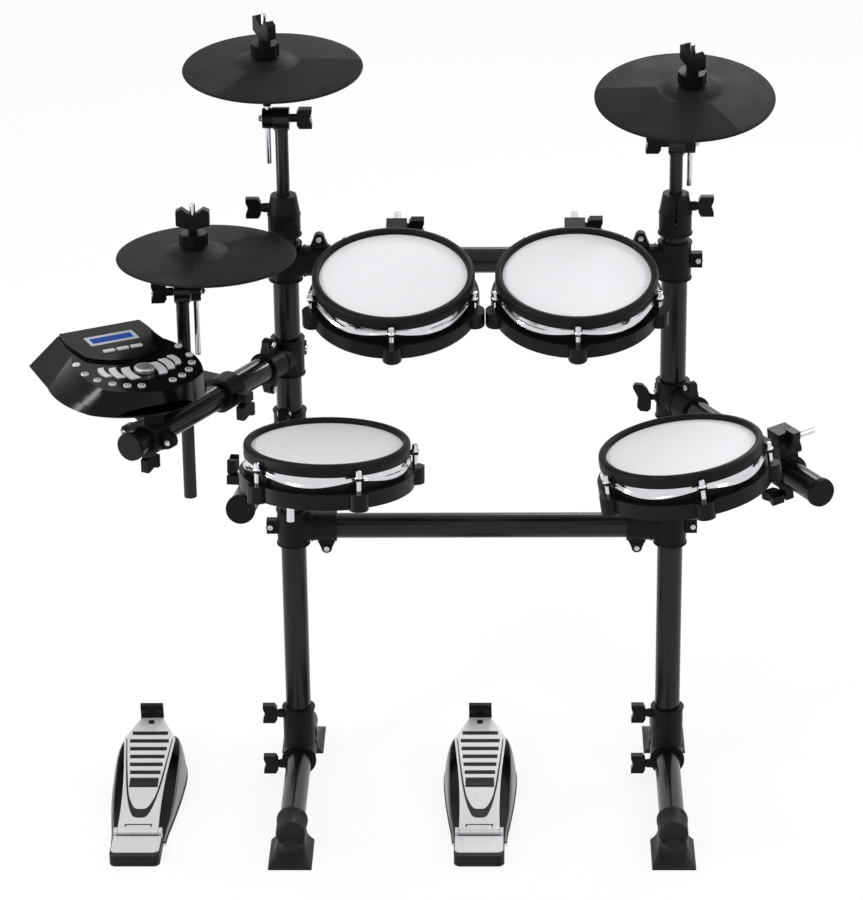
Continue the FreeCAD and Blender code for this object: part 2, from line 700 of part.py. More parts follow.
def stand(name, place, low):
    """Stand tube with its top at the tilt axis: a barrel along X on a neck."""
    reach = "hihat_z - hihat_low_z" if name == "hihat" else f"stand_in_post + {name}_z - top_clamp_z"
    half = S.barrel_len / 2
    solids = [
        cylinder(name + "_tube", "stand_d / 2", reach, at(z=-low)),
        cylinder(name + "_neck", "barrel_len / 2 - 1", "barrel_d / 2 + stand_wall",
                 at(z=-S.barrel_d / 2 - S.stand_wall)),
        cylinder(name + "_barrel", "barrel_d / 2", "barrel_len", at(x=-half, turn=ALONG_X)),
    ]
    bores = [
        cylinder(name + "_tube_bore", "stand_d / 2 - stand_wall", f"{reach} - barrel_d / 2 - 4", at(z=-low)),
        cylinder(name + "_pivot_bore", "cymbal_rod_d / 2 + run_gap", "barrel_len + 2",
                 at(x=-half - 1, turn=ALONG_X)),
    ]
    return cut(name + "_stand_body", fuse(name + "_stand_solid", solids), bores, place)


def tilter(name, rise, nut_turn, pin_turn):
    """Tilter about X: side block with pivot and wing, cymbal rod with stop pin, lower cone and nut."""
    up = {"crash_rise": S.crash_rise, "hihat_rise": S.hihat_rise}[rise]
    half = S.barrel_len / 2 + S.run_gap
    block_w = 2 * (S.cymbal_rod_side - half)
    rod = at(x=-S.cymbal_rod_side)
    block = fuse(name + "_block_solid", [
        cylinder(name + "_cheek", "barrel_d / 2 - 1", "2 * (cymbal_rod_side - barrel_len / 2 - run_gap)",
                 at(x=-half - block_w, turn=ALONG_X)),
        cylinder(name + "_pivot", "cymbal_rod_d / 2", "barrel_len + 2 * run_gap + 4",
                 at(x=-half - 2, turn=ALONG_X)),
        wing_bolt(name + "_wing", axes(Vector(half, 0, 0), Z_AXIS, X_AXIS), "tilt_stem"),
    ])
    hole = "cymbal_rod_d / 2 + fit_gap"
    rod_bore = cylinder(name + "_rod_bore", hole, "cymbal_rod_len", rod.multiply(at(z=-S.barrel_d)))
    block = cut(name + "_block", block, [rod_bore])
    pin_half = S.bell_hole_d / 2 - 1
    pin_z = up + S.cymbal_bow + S.bell_h - S.cymbal_thick / 2
    pin_middle = rod.multiply(at(z=pin_z, turn=Rotation(Z_AXIS, pin_turn)))
    pin_place = pin_middle.multiply(at(y=-pin_half, turn=ALONG_Y))
    post = fuse(name + "_post", [
        cylinder(name + "_rod", "cymbal_rod_d / 2", "cymbal_rod_len",
                 rod.multiply(at(z=up + S.cymbal_rod_over - S.cymbal_rod_len))),
        cylinder(name + "_stop_pin", "stop_pin_d / 2", "bell_hole_d - 2", pin_place),
    ])
    seat_top = up + S.cymbal_bow + S.bell_h - S.cymbal_thick - S.rock_gap
    seat_low = S.barrel_d / 2 + 4
    wires = [outline_wire(polygon(16, radius), z) for radius, z in (
        (S.cymbal_rod_d * 0.75, seat_low), (S.felt_d / 2, seat_top - 3), (S.cymbal_rod_d, seat_top))]
    seat_solid = shaped(name + "_cone_solid", Part.makeLoft(wires, True, True))
    seat_bore = cylinder(name + "_cone_bore", hole, "cymbal_rod_len")
    seat = cut(name + "_cone", seat_solid, [seat_bore], rod)
    nut_z = up + S.cymbal_bow + S.bell_h + S.rock_gap
    felt_h = S.rock_gap * 2
    ears_z = nut_z + felt_h + S.collar_h - 1
    knob = fuse(name + "_nut_solid", [
        many_sided(name + "_felt", 12, "cymbal_rod_d", "rock_gap * 3", rod.multiply(at(z=nut_z))),
        many_sided(name + "_collar", 8, "collar_d / 2", "collar_h", rod.multiply(at(z=nut_z + felt_h))),
        wing_nut(name + "_wing_nut", rod.multiply(at(z=ears_z, turn=Rotation(Z_AXIS, nut_turn)))),
    ])
    nut_bore = cylinder(name + "_nut_bore", hole, "cymbal_rod_len", rod.multiply(at(z=up)))
    return [block, post, seat, cut(name + "_nut", knob, [nut_bore])]


def wing_nut(name, place):
    """Tall wing nut: two ears that rise from a narrow foot."""
    right = [("wing_hub_d / 2", "0"), ("wing_hub_d / 2", "wing_nut_ear * 0.6"),
             ("wing_nut_span / 2", "wing_nut_ear"), ("wing_nut_span / 2", "wing_nut_h - 4"),
             ("wing_nut_span * 0.32", "wing_nut_h")]
    left = [(f"-{across}", up) for across, up in reversed(right)]
    return plate(name, right + [("0", "wing_nut_dip")] + left, "wing_hub_d", "XZ_Plane", place)


def cymbal(name, place):
    """Cymbal with its rod on Z and its edge at zero. X points to the middle of the strike zone."""
    top = "cymbal_bow + bell_h"
    middle = at(x=S.bell_offset)
    edge = cylinder(name + "_edge", "cymbal_d / 2", "cymbal_thick * 0.7", middle)
    bow = cone(name + "_bow", "cymbal_d / 2", "bell_d / 2 - bell_offset - cymbal_thick",
               "cymbal_bow - cymbal_thick * 0.7", middle.multiply(at(z=S.cymbal_thick * 0.7)))
    bell_low = S.cymbal_bow * 0.45
    bell = cone(name + "_bell", "bell_d / 2", "bell_d * 0.22", f"{top} - cymbal_bow * 0.45", at(z=bell_low))
    jack = box(name + "_jack", "jack_len", "jack_w", "jack_h",
               at(x=S.bell_offset + S.cymbal_d * 0.28, z=-S.jack_h / 6))
    recess = cylinder(name + "_recess", "bell_d * 0.22 + cymbal_thick / 2", f"{top} - cymbal_thick")
    hole = cylinder(name + "_hole", "bell_hole_d / 2", "cymbal_d")
    body = cut(name + "_cymbal_body", fuse(name + "_cymbal_solid", [edge, bow, bell, jack]), [recess, hole])
    return node(name + "_cymbal", [body], place)


def case_wire(level, z, inset=0.0):
    """Outline of the sound module between its foot (level 0) and its deck (level 1)."""
    def mix(low, high):
        return low + (high - low) * level

    rear = mix(S.case_rear_low, S.case_rear) - inset
    corner = mix(S.case_corner_low, S.case_corner) - inset
    flank = mix(S.case_flank_low, S.case_flank) - inset
    side = mix(S.case_side_low, S.case_side) - inset
    shoulder = mix(S.case_shoulder_low, S.case_shoulder) - inset * 0.8
    dip = inset * 0.6 - mix(S.case_dip_low, S.case_dip)
    front = inset - mix(S.case_front_low, S.case_front)
    return outline_wire([
        (corner, rear), (flank, S.case_flank_y),
        ((side, S.case_waist), (shoulder, dip)),
        ((0, front), (-shoulder, dip)),
        ((-side, S.case_waist), (-flank, S.case_flank_y)),
        (-corner, rear),
    ], z)


def key_list():
    """Every key of the module: name, outline sides, place, turn and half sizes."""
    keys = []
    for i in (-1, 0, 1):
        keys.append((f"display_key_{i + 2}", "flat", i * S.lcd_key_pitch, S.lcd_key_y, 0,
                     S.lcd_key_w, S.lcd_key_len))
    for side, word in ((-1, "left"), (1, "right")):
        inner = S.blade_first
        for i in range(3):
            width = S.blade_w - S.blade_taper * i
            keys.append((f"blade_key_{word}_{i + 1}", "blade", side * (inner + width / 2), S.blade_lift * i,
                         90 - 90 * side, width, S.blade_len - 2 * S.blade_taper * i))
            inner += width + S.blade_step
        for i, angle in enumerate((17.0, 31.0, 46.0, 63.0, 81.5, 105.0)):
            swing = math.radians(angle)
            keys.append((f"round_key_{word}_{i + 1}", "round", side * S.ring_d / 2 * math.sin(swing),
                         S.ring_y - S.ring_d / 2 * math.cos(swing), 0, S.button_d, S.button_d))
    return keys


def key_solid(kind, width, length, low, high, extra=0.0):
    """Key, or its hole when extra is the gap round it."""
    w = width / 2 + extra
    long = length / 2 + extra
    if kind == "round":
        return prism(outline_wire(polygon(14, w)), low, high)
    if kind == "flat":
        return prism(outline_wire([(-w, -long), (w, -long), (w, long), (-w, long)]), low, high)
    bow = S.blade_bow
    return prism(outline_wire([(-bow, long), (-w - bow, long), ((-w, 0), (-w - bow, -long)),
                               (w - bow, -long), ((w, 0), (w - bow, long))]), low, high)


def polygon(sides, radius):
    turn = 2 * math.pi / sides
    return [(radius * math.cos(turn * i), radius * math.sin(turn * i)) for i in range(sides)]


def module(place, grip_place):
    """Sound module. Its own Z is the deck's normal, Y points to its rear and its dial is at the origin."""
    keys = key_list()
    wall = S.module_wall
    depth = S.module_h
    outer = Part.makeLoft([case_wire(0, -depth), case_wire(1, 0)], True, True)
    hull = outer.cut(prism(case_wire(1, 0, 3 * wall), wall - depth, -wall))
    span = 4 * S.case_rear_low
    above = Part.makeBox(span, span, depth, Vector(-span / 2, -span / 2, -S.module_split))
    below = Part.makeBox(span, span, depth, Vector(-span / 2, -span / 2, -S.module_split - depth))

    half_rear = S.platform_rear_w / 2
    half_wide = S.platform_w / 2
    platform = prism(outline_wire([
        (half_rear, S.case_rear - 1), ((half_wide, S.lcd_y), (half_rear - wall, S.platform_side)),
        ((0, S.platform_front), (wall - half_rear, S.platform_side)),
        ((-half_wide, S.lcd_y), (-half_rear, S.case_rear - 1)),
    ]), -wall / 2, S.platform_h)
    upper = hull.common(above).fuse(platform)
    gap = S.fit_gap
    holes = [
        Part.makeBox(S.lcd_w, S.lcd_len, S.platform_h,
                     Vector(-S.lcd_w / 2, S.lcd_y - S.lcd_len / 2, S.platform_h / 2)),
        Part.makeCylinder(S.dial_d * 0.12 + S.run_gap, depth, Vector(0, 0, -depth / 2)),
    ]
    for name, kind, x, y, turn, w, length in keys:
        hole = key_solid(kind, w, length, -depth / 2, depth / 2, S.key_gap)
        hole.Placement = at(x, y, 0, Rotation(Z_AXIS, turn))
        holes.append(hole)
    node("module_upper_case", [shaped("upper_case", upper.cut(holes).removeSplitter())], place)

    lower = hull.common(below)
    board_low = -S.board_z - S.head_thick
    post_w = 3 * wall
    post_x = S.case_flank - 3 * post_w
    post_h = board_low + depth - wall / 2
    posts = [Part.makeBox(post_w, post_w, post_h, Vector(x - post_w / 2, y, wall / 2 - depth))
             for x in (-post_x, post_x) for y in (0, S.lcd_y)]
    lower = lower.fuse(posts).removeSplitter()
    node("module_lower_case", [shaped("lower_case", lower)] + module_mount(place, grip_place), place)

    board = prism(case_wire(1, 0, 3 * wall + gap), board_low, -S.board_z)
    switch_w = 2 * wall
    switch_h = S.board_z - S.key_low - S.key_travel - gap * 2
    switches = [Part.makeBox(switch_w, switch_w, switch_h, Vector(x - wall, y - wall, -S.board_z))
                for name, kind, x, y, turn, w, length in keys]
    frame = Part.makeBox(S.lcd_w - 2 * gap, S.lcd_len - 2 * gap, S.platform_h / 2 + 0.6,
                         Vector(gap - S.lcd_w / 2, gap + S.lcd_y - S.lcd_len / 2, S.platform_h / 2))
    window = Part.makeBox(S.screen_w, S.screen_len, S.platform_h,
                          Vector(-S.screen_w / 2, S.lcd_y - S.screen_len / 2, S.platform_h - 1))
    screen = Part.makeBox(S.screen_w - 2 * gap, S.screen_len - 2 * gap, 1,
                          Vector(gap - S.screen_w / 2, gap + S.lcd_y - S.screen_len / 2, S.platform_h - 1))
    node("module_board", [
        shaped("circuit_board", board.fuse(switches).removeSplitter()),
        shaped("display_frame", frame.cut(window)), shaped("display_screen", screen),
    ], place)

    knob = cylinder("dial_knob", "dial_d / 2", "dial_h", at(z=S.run_gap))
    shaft = cylinder("dial_shaft", "dial_d * 0.12", "board_z - run_gap", at(z=2 * S.run_gap - S.board_z))
    node("module_dial", [fuse("dial_body", [knob, shaft])], place)
    for name, kind, x, y, turn, w, length in keys:
        top = S.key_up + (S.platform_h if kind == "flat" else 0)
        solid = key_solid(kind, w, length, -S.key_low, top)
        node(name, [shaped(name + "_cap", solid)], place.multiply(at(x, y, 0, Rotation(Z_AXIS, turn))))


def module_mount(place, grip_place):
    """Collar on the arm, neck and plate under the module, and a wing bolt, in the module's own frame."""
    local = place.inverse().multiply(grip_place)
    half = S.grip_len / 2
    foot = local.Base
    plate_h = 2 * S.module_wall
    plate_z = -S.module_h - S.fit_gap - plate_h / 2
    neck_h = plate_z - foot.z - S.grip_d / 2 + S.module_wall
    bracket = fuse("module_mount_solid", [
        cylinder("module_mount_collar", "grip_d / 2", "grip_len", local.multiply(at(y=-half, turn=ALONG_Y))),
        box("module_mount_plate", "grip_len * 2", "grip_len * 2.4", "2 * module_wall",
            at(foot.x, foot.y + S.grip_len / 2, plate_z)),
        box("module_mount_neck", "grip_w", "grip_w", f"{neck_h}", at(foot.x, foot.y, plate_z - neck_h / 2)),
    ])
    bore = cylinder("module_mount_bore", "tube_d / 2 + run_gap", "grip_len + 2",
                    local.multiply(at(y=-half - 1, turn=ALONG_Y)))
    under = Vector(0, 0, -S.grip_d / 2 - S.fit_gap)
    wing = wing_bolt("module_mount_wing", local.multiply(axes(under, Y_AXIS, -Z_AXIS)))
    return [cut("module_mount", bracket, [bore]), wing]


def board_len():
    return S.pedal_len - S.board_short


def pedal_side(fullness, start, z):
    """Right edge of the pedal's housing from a start to the toe, then its left edge back."""
    long = S.pedal_len
    wide = S.pedal_w / 2 * fullness
    waist = S.pedal_heel_w / 2 + S.board_side_gap * 2
    half_way = start + (long * 0.8 - start) * 0.5
    right = [(waist, start), (waist + (wide - waist) * 0.6, half_way), (wide, long * 0.74),
             (wide * 0.95, long * 0.85), (wide * 0.72, long * 0.95), (S.toe_w / 2, long * 0.995)]
    return outline_wire(right + [(-x, y) for x, y in reversed(right)], z)


def pedal_base(name, place):
    """Pedal housing from heel (origin) to toe along +Y: heel rubber and plate, hinge pin and bumper."""
    floor = S.pedal_floor
    board = board_len()
    heel = Part.makeBox(S.pedal_heel_w, S.pedal_hinge, floor, Vector(-S.pedal_heel_w / 2, 0, 0))
    foot = heel.fuse(prism(pedal_side(1, S.pedal_hinge, 0), 0, floor))
    dome = Part.makeLoft([
        pedal_side(1, S.pedal_len * 0.3, floor / 2),
        pedal_side(0.96, S.pedal_len * 0.45, S.pedal_wall_h * 0.6),
        pedal_side(0.84, S.pedal_len * 0.62, S.pedal_wall_h),
    ], True, True)
    clear = S.board_w / 2 + S.board_side_gap
    channel = Part.makeBox(2 * clear, 2 * S.pedal_len, 2 * S.pedal_wall_h, Vector(-clear, 0, floor))
    housing = shaped(name + "_housing", foot.fuse(dome.cut(channel)).removeSplitter())

    heel_len = S.pedal_hinge - S.barrel_r - 4
    rubber_h = S.pedal_hinge_z - floor - 4
    block = box(name + "_heel_block", "pedal_heel_w", f"{heel_len}", f"{rubber_h}",
                at(0, heel_len / 2, floor + rubber_h / 2))
    groove = 2.0
    grooves = [box(f"{name}_groove{i}", "pedal_heel_w + 2", f"{groove}", f"{groove}",
                   at(0, 2 * groove * (i + 1), floor + rubber_h)) for i in range(3)]
    rubber = cut(name + "_heel_rubber", block, grooves)
    plate_from = S.heel_strip
    plate_len = heel_len - plate_from
    heel_plate = box(name + "_heel_plate", "board_heel_w", f"{plate_len}", "2",
                     at(0, plate_from + plate_len / 2, floor + rubber_h + 1))
    pin = cylinder(name + "_pin", "pin_d / 2", "board_heel_w",
                   at(-S.board_heel_w / 2, S.pedal_hinge, S.pedal_hinge_z, ALONG_X))
    cheek_top = S.pedal_hinge_z + S.barrel_r
    cheeks = [box(f"{name}_cheek{side}", "hinge_cheek", "2 * barrel_r", f"{cheek_top} - pedal_floor",
                  at(side * (S.board_heel_w - S.hinge_cheek) / 2, S.pedal_hinge, (cheek_top + floor) / 2))
              for side in (-1, 1)]
    hinge = fuse(name + "_hinge", [pin] + cheeks)
    bumper = box(name + "_bumper", "board_toe_w", "toe_h", "pedal_bumper_h",
                 at(0, S.pedal_hinge + board * 0.8, floor + S.pedal_bumper_h / 2))
    return compound(name, [housing, rubber, heel_plate, hinge, bumper], place)


def footboard(name, place):
    """Footboard from its hinge (X axis) to the toe along Y: slotted plate, hinge barrel and toe stop."""
    heel = S.board_heel_w / 2 - S.hinge_cheek - S.run_gap * 2
    waist = S.board_waist_w / 2
    wide = S.board_w / 2
    toe = S.board_toe_w / 2
    long = board_len()
    low = S.board_low
    start = S.barrel_r * 0.6
    top = low + S.board_thick
    sheet_metal = prism(outline_wire([
        (heel, start), ((waist, long * 0.21), (waist + 4, long * 0.55)), (wide, long * 0.79),
        (toe, long * 0.96), (toe, long), (-toe, long), (-toe, long * 0.96),
        (-wide, long * 0.79), (-waist - 4, long * 0.55), ((-waist, long * 0.21), (-heel, start)),
    ]), low, top)
    slots = []
    for i, share in enumerate((0.92, 1.0, 0.95, 0.89, 0.84, 0.78)):
        slot_y = long * (0.836 - 0.0695 * i)
        slots.append(Part.makeBox(S.slot_w * share, S.slot_len, 2 * top,
                                  Vector(-S.slot_w * share / 2, slot_y - S.slot_len / 2, 0)))
    big_w = S.slot_w * 0.73
    big_len = S.slot_len * 2.5
    slots.append(Part.makeBox(big_w, big_len, 2 * top, Vector(-big_w / 2, long * 0.4 - big_len / 2, 0)))
    barrel = Part.makeCylinder(S.barrel_r, 2 * heel, Vector(-heel, 0, 0), X_AXIS)
    bore = Part.makeCylinder(S.pin_d / 2 + S.run_gap, 2 * heel + 2, Vector(-heel - 1, 0, 0), X_AXIS)
    board = shaped(name + "_plate", sheet_metal.cut(slots).fuse(barrel).cut(bore).removeSplitter())
    stop = box(name + "_stop", "toe_w", "toe_thick", "toe_h",
               at(0, long - S.toe_thick / 2 - S.fit_gap, top + S.fit_gap + S.toe_h / 2))
    return node(name, [board, stop], place)


def along(turn, rise=0.0):
    """Direction of an arm from its turn about the post and its rise."""
    a = math.radians(turn)
    b = math.radians(rise)
    return Vector(math.cos(a) * math.cos(b), math.sin(a) * math.cos(b), math.sin(b))


def post_at(side, z):
    return Vector(side * S.post_gap / 2, 0, z)


def tom_place(side):
    """Tom on the upper crossbar, left or right of the middle between the two."""
    x = S.tom_middle_x + side * (S.head_d + S.tom_apart) / 2
    lean = Rotation(X_AXIS, S.tom_tilt).multiply(Rotation(Z_AXIS, 90))
    tube_spot = Vector(x, 0, S.bar_high_z)
    offset = lean.multVec(Vector(beyond_head(S.mount_over), 0, -S.pad_rod_drop - S.grip_reach))
    return Placement(tube_spot - offset, lean)


def floor_tom_places():
    """The pad, rolled about its rod, and its clamp on the arm."""
    t = along(S.floor_arm_turn)
    tilt = math.radians(S.floor_tom_tilt)
    x_axis = Vector(-t.y, t.x, 0) * math.cos(tilt) + Z_AXIS * math.sin(tilt)
    z_axis = x_axis.cross(t * -1)
    grip = axes(post_at(1, S.floor_arm_z) + t * S.floor_tom_at, x_axis, z_axis)
    rod = grip.multiply(at(z=S.grip_reach, turn=Rotation(X_AXIS, -S.floor_tom_roll)))
    return rod.multiply(at(-beyond_head(S.mount_over), 0, S.pad_rod_drop)), grip


def snare_places():
    """The pad and its clamp: the rod's leg stands beside the rising arm."""
    t = along(S.snare_arm_turn, S.snare_arm_rise)
    up = along(S.snare_arm_turn, S.snare_arm_rise + 90)
    n = up.cross(t)
    grip = axes(post_at(-1, S.snare_arm_z) + t * S.snare_at, up, n)
    swing = math.radians(S.snare_swing)
    x_axis = n * -math.sin(swing) - t * math.cos(swing)
    spot = grip.Base + n * S.grip_reach + up * S.snare_head_up - x_axis * beyond_head(S.leg_over)
    return axes(spot, x_axis, up), grip


def hihat_places():
    """Clamp on the module arm, and the spot where the stand tube crosses the arm's level."""
    t = along(S.module_arm_turn)
    n = Vector(t.y, -t.x, 0)
    grip = axes(post_at(-1, S.module_arm_z) + t * S.hihat_at, t.cross(n), n)
    return grip, grip.Base + n * S.hihat_reach


def tilt_places():
    """Tilt axis of each cymbal stand: its origin, with X to the wing bolt and Z up the rod."""
    hihat_spot = hihat_places()[1]
    left = Rotation(X_AXIS, S.crash_left_tilt).multVec(Z_AXIS)
    right = Rotation(X_AXIS, S.crash_right_tilt).multVec(Z_AXIS)
    return {
        "crash_left": axes(post_at(-1, S.crash_left_z), X_AXIS, left),
        "crash_right": axes(post_at(1, S.crash_right_z), X_AXIS * -1, right),
        "hihat": axes(Vector(hihat_spot.x, hihat_spot.y, S.hihat_z), along(S.hihat_turn), Z_AXIS),
    }


def stand_facing(name):
    """Turn of a cymbal stand about its tube."""
    return {"crash_left": 0.0, "crash_right": 180.0, "hihat": S.hihat_turn}[name]


def cymbal_places():
    """Cymbal's rod at its edge level, with X to the strike zone."""
    spots = {}
    for name, place in tilt_places().items():
        rise = S.hihat_rise if name == "hihat" else S.crash_rise
        strike = getattr(S, name + "_strike")
        turn = Rotation(Z_AXIS, strike - stand_facing(name))
        spots[name] = place.multiply(at(-S.cymbal_rod_side, 0, rise, turn))
    return spots


def module_places():
    """The module at its dial, and its clamp on the arm."""
    lean = Rotation(X_AXIS, S.module_tilt).multiply(Rotation(Y_AXIS, S.module_roll))
    turn = Rotation(Z_AXIS, S.module_turn).multiply(lean)
    t = along(S.module_arm_turn)
    grip = axes(post_at(-1, S.module_arm_z) + t * S.module_clamp_at, Vector(t.y, -t.x, 0) * -1, Z_AXIS)
    return Placement(Vector(S.module_x, S.module_y, S.module_z), turn), grip


def pedal_places():
    """Housing and footboard of each pedal."""
    spots = {}
    for name, x in (("kick", S.kick_x), ("hihat", S.hihat_pedal_x)):
        base = at(x, S.pedal_heel_y, 0)
        board = base.multiply(at(0, S.pedal_hinge, S.pedal_hinge_z, Rotation(X_AXIS, S.board_rise)))
        spots[name] = base, board
    return spots


def build():
    rack()
    node("pedal_bases", [pedal_base(name + "_pedal", base) for name, (base, board) in pedal_places().items()])
    for name, (base, board) in pedal_places().items():
        footboard(name + "_footboard", board)

    place, pieces = arm("module_arm", -1, S.module_arm_z, S.module_arm_turn)
    hihat_grip = hihat_places()[0]
    grip_in_arm = place.inverse().multiply(hihat_grip)
    pieces += rod_grip("hihat_grip", grip_in_arm, 1, "hihat_reach", "stand_d", "run_gap")
    node("module_arm", pieces, place)
    place, pieces = arm("snare_arm", -1, S.snare_arm_z, S.snare_arm_turn, S.snare_arm_rise)
    node("snare_arm", pieces, place)
    place, pieces = arm("floor_tom_arm", 1, S.floor_arm_z, S.floor_arm_turn)
    node("floor_tom_arm", pieces, place)

    grip_on_bar = at(beyond_head(S.mount_over), 0, -S.pad_rod_drop - S.grip_reach)
    pad("tom_left", tom_place(-1), grip_on_bar, 1)
    pad("tom_right", tom_place(1), grip_on_bar, 1)
    place, grip = floor_tom_places()
    pad("floor_tom", place, place.inverse().multiply(grip), -1)
    place, grip = snare_places()
    pad("snare", place, place.inverse().multiply(grip), 1, bent=True)

    module(*module_places())
    for name, place in tilt_places().items():
        level = Placement(place.Base, Rotation(Z_AXIS, stand_facing(name)))
        low = S.hihat_z - S.hihat_low_z if name == "hihat" else place.Base.z - S.top_clamp_z + S.stand_in_post
        node(name + "_stand", [stand(name, Placement(), low)], level)
        rise, nut_turn = ("hihat_rise", -S.hihat_turn) if name == "hihat" else ("crash_rise", -60)
        pin_turn = getattr(S, name + "_strike") - stand_facing(name)
        node(name + "_tilter", tilter(name, rise, nut_turn, pin_turn), place)
    for name, place in cymbal_places().items():
        cymbal(name, place)


def check_and_write():
    """Stop on any failed object, then write one file for each sub-part."""
    doc.recompute()
    for obj in doc.Objects:
        if "Invalid" in obj.State or "Error" in obj.State:
            raise RuntimeError(f"{obj.Name} failed: {obj.State}")
    for obj in NODES:
        if obj.Shape.isNull() or not obj.Shape.isValid() or not obj.Shape.Solids:
            raise RuntimeError(f"{obj.Label} has no valid solid")
    os.makedirs("parts", exist_ok=True)
    for obj in NODES:
        obj.Shape.exportStep(f"parts/{obj.Label}.step")
    print(f"{len(NODES)} sub-parts written")


build()
check_and_write()
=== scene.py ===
"""Looks of an electronic drum kit, built on its CAD frame.

Sizes in the classes are millimetres. Blender gets metres, in the frame of the CAD model:
+X is the drummer's right, +Y points away from the drummer and +Z is up.
"""

import json
import logging
import math
from collections.abc import Callable, Sequence
from dataclasses import dataclass
from enum import Enum
from typing import Any

import bmesh
import bpy
from mathutils import Matrix, Vector

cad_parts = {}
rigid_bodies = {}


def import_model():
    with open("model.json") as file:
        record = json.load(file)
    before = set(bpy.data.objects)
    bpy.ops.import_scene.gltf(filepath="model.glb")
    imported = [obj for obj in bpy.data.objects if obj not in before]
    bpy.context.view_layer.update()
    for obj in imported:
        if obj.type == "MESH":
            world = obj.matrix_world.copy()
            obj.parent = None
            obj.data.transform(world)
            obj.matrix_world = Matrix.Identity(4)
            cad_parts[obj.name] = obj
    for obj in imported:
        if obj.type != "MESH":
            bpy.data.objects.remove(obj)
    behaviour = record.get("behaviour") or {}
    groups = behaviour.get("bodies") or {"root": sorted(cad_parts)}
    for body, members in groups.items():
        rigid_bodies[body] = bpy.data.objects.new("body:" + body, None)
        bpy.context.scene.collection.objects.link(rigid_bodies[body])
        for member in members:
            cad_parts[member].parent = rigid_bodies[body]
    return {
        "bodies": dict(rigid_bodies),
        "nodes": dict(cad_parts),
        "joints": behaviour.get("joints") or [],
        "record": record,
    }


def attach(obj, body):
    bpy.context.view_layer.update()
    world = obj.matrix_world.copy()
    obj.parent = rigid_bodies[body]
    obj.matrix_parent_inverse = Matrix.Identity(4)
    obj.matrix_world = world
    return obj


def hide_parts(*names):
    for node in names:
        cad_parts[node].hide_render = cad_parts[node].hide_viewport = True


LOG = logging.getLogger("drum_kit")
MM = 0.001
Point = tuple[float, float, float]
Flat = tuple[float, float]


def linear(code: str) -> tuple[float, float, float, float]:
    """Turn an sRGB hex colour into Blender's linear colour.

    Args:
        code: Six hex digits after a hash.

    Returns:
        Linear red, green and blue, and an alpha of one.
    """
    parts = [int(code[i:i + 2], 16) / 255 for i in (1, 3, 5)]
    red, green, blue = (c / 12.92 if c <= 0.04045 else ((c + 0.055) / 1.055) ** 2.4 for c in parts)
    return red, green, blue, 1.0


def plug(tree: bpy.types.NodeTree, node: bpy.types.Node, inputs: dict[Any, Any]) -> None:
    """Set a node's inputs.

    Args:
        tree: The node's tree.
        node: The node.
        inputs: Socket name or number, with a value or another node's output.
    """
    for socket, value in inputs.items():
        if isinstance(value, bpy.types.NodeSocket):
            tree.links.new(value, node.inputs[socket])
        else:
            node.inputs[socket].default_value = value


def add_node(tree: bpy.types.NodeTree, kind: str, inputs: dict[Any, Any] | None = None,
             **settings: Any) -> bpy.types.Node:
    """Add one shader node with its settings and links.

    Args:
        tree: The material's or world's node tree.
        kind: The node's Blender type.
        inputs: Socket name or number, with a value or another node's output.
        settings: The node's own properties.

    Returns:
        The new node.
    """
    node = tree.nodes.new(kind)
    for name, value in settings.items():
        setattr(node, name, value)
    plug(tree, node, inputs or {})
    return node


def per_metre(size_mm: float) -> float:
    """Pattern scale at which one repeat is the given size."""
    return 1 / (size_mm * MM)


@dataclass(frozen=True)
class Finish:
    """A surface: its colour and gloss, which vary in soft patches, and what its making leaves on it."""

    name: str
    colour: str
    roughness: float
    metallic: float = 0.0
    specular: float = 0.5
    ior: float = 1.5
    tone: str = "#1c1c1e"      # the second colour
    patch_mm: float = 45.0
    spread: float = 0.05       # how far the roughness moves each way
    smoothest: float = 0.02

    def material(self) -> bpy.types.Material:
        """Give the finish's material, made at its first use.

        Returns:
            The Blender material.
        """
        made = bpy.data.materials.get(self.name)
        if made:
            return made
        made = bpy.data.materials.new(self.name)
        made.use_nodes = True
        made.diffuse_color = linear(self.colour)
        tree = made.node_tree
        shader = tree.nodes["Principled BSDF"]
        plug(tree, shader, {"Base Color": linear(self.colour), "Roughness": self.roughness,
                            "Metallic": self.metallic, "Specular IOR Level": self.specular})
        if not self.metallic:
            plug(tree, shader, {"IOR": self.ior})
        place = add_node(tree, "ShaderNodeTexCoord").outputs["Object"]
        plug(tree, shader, self.surface(tree, place))
        return made

    def surface(self, tree: bpy.types.NodeTree, place: bpy.types.NodeSocket) -> dict[str, Any]:
        """Vary gloss and colour in soft patches.

        Args:
            tree: The material's node tree.
            place: Texture coordinates in metres.

        Returns:
            Inputs of the shader, each with a value or a node's output.
        """
        cloud = add_node(tree, "ShaderNodeTexNoise", {
            "Vector": place, "Scale": per_metre(self.patch_mm), "Detail": 3.0})
        gloss = add_node(tree, "ShaderNodeMapRange", {
            "Value": cloud.outputs["Fac"], "From Min": 0.3, "From Max": 0.7,
            "To Min": max(self.roughness - self.spread, self.smoothest),
            "To Max": self.roughness + self.spread})
        blend = add_node(tree, "ShaderNodeMix", {
            "Factor": cloud.outputs["Fac"], "A": linear(self.colour), "B": linear(self.tone)},
            data_type="RGBA")
        return {"Roughness": gloss.outputs["Result"], "Base Color": blend.outputs["Result"]}


@dataclass(frozen=True)
class Plated(Finish):
    """Plated or polished metal: clear reflections with a faint haze of handling."""

    tone: str = "#c4c6ca"
    patch_mm: float = 18.0
    spread: float = 0.03


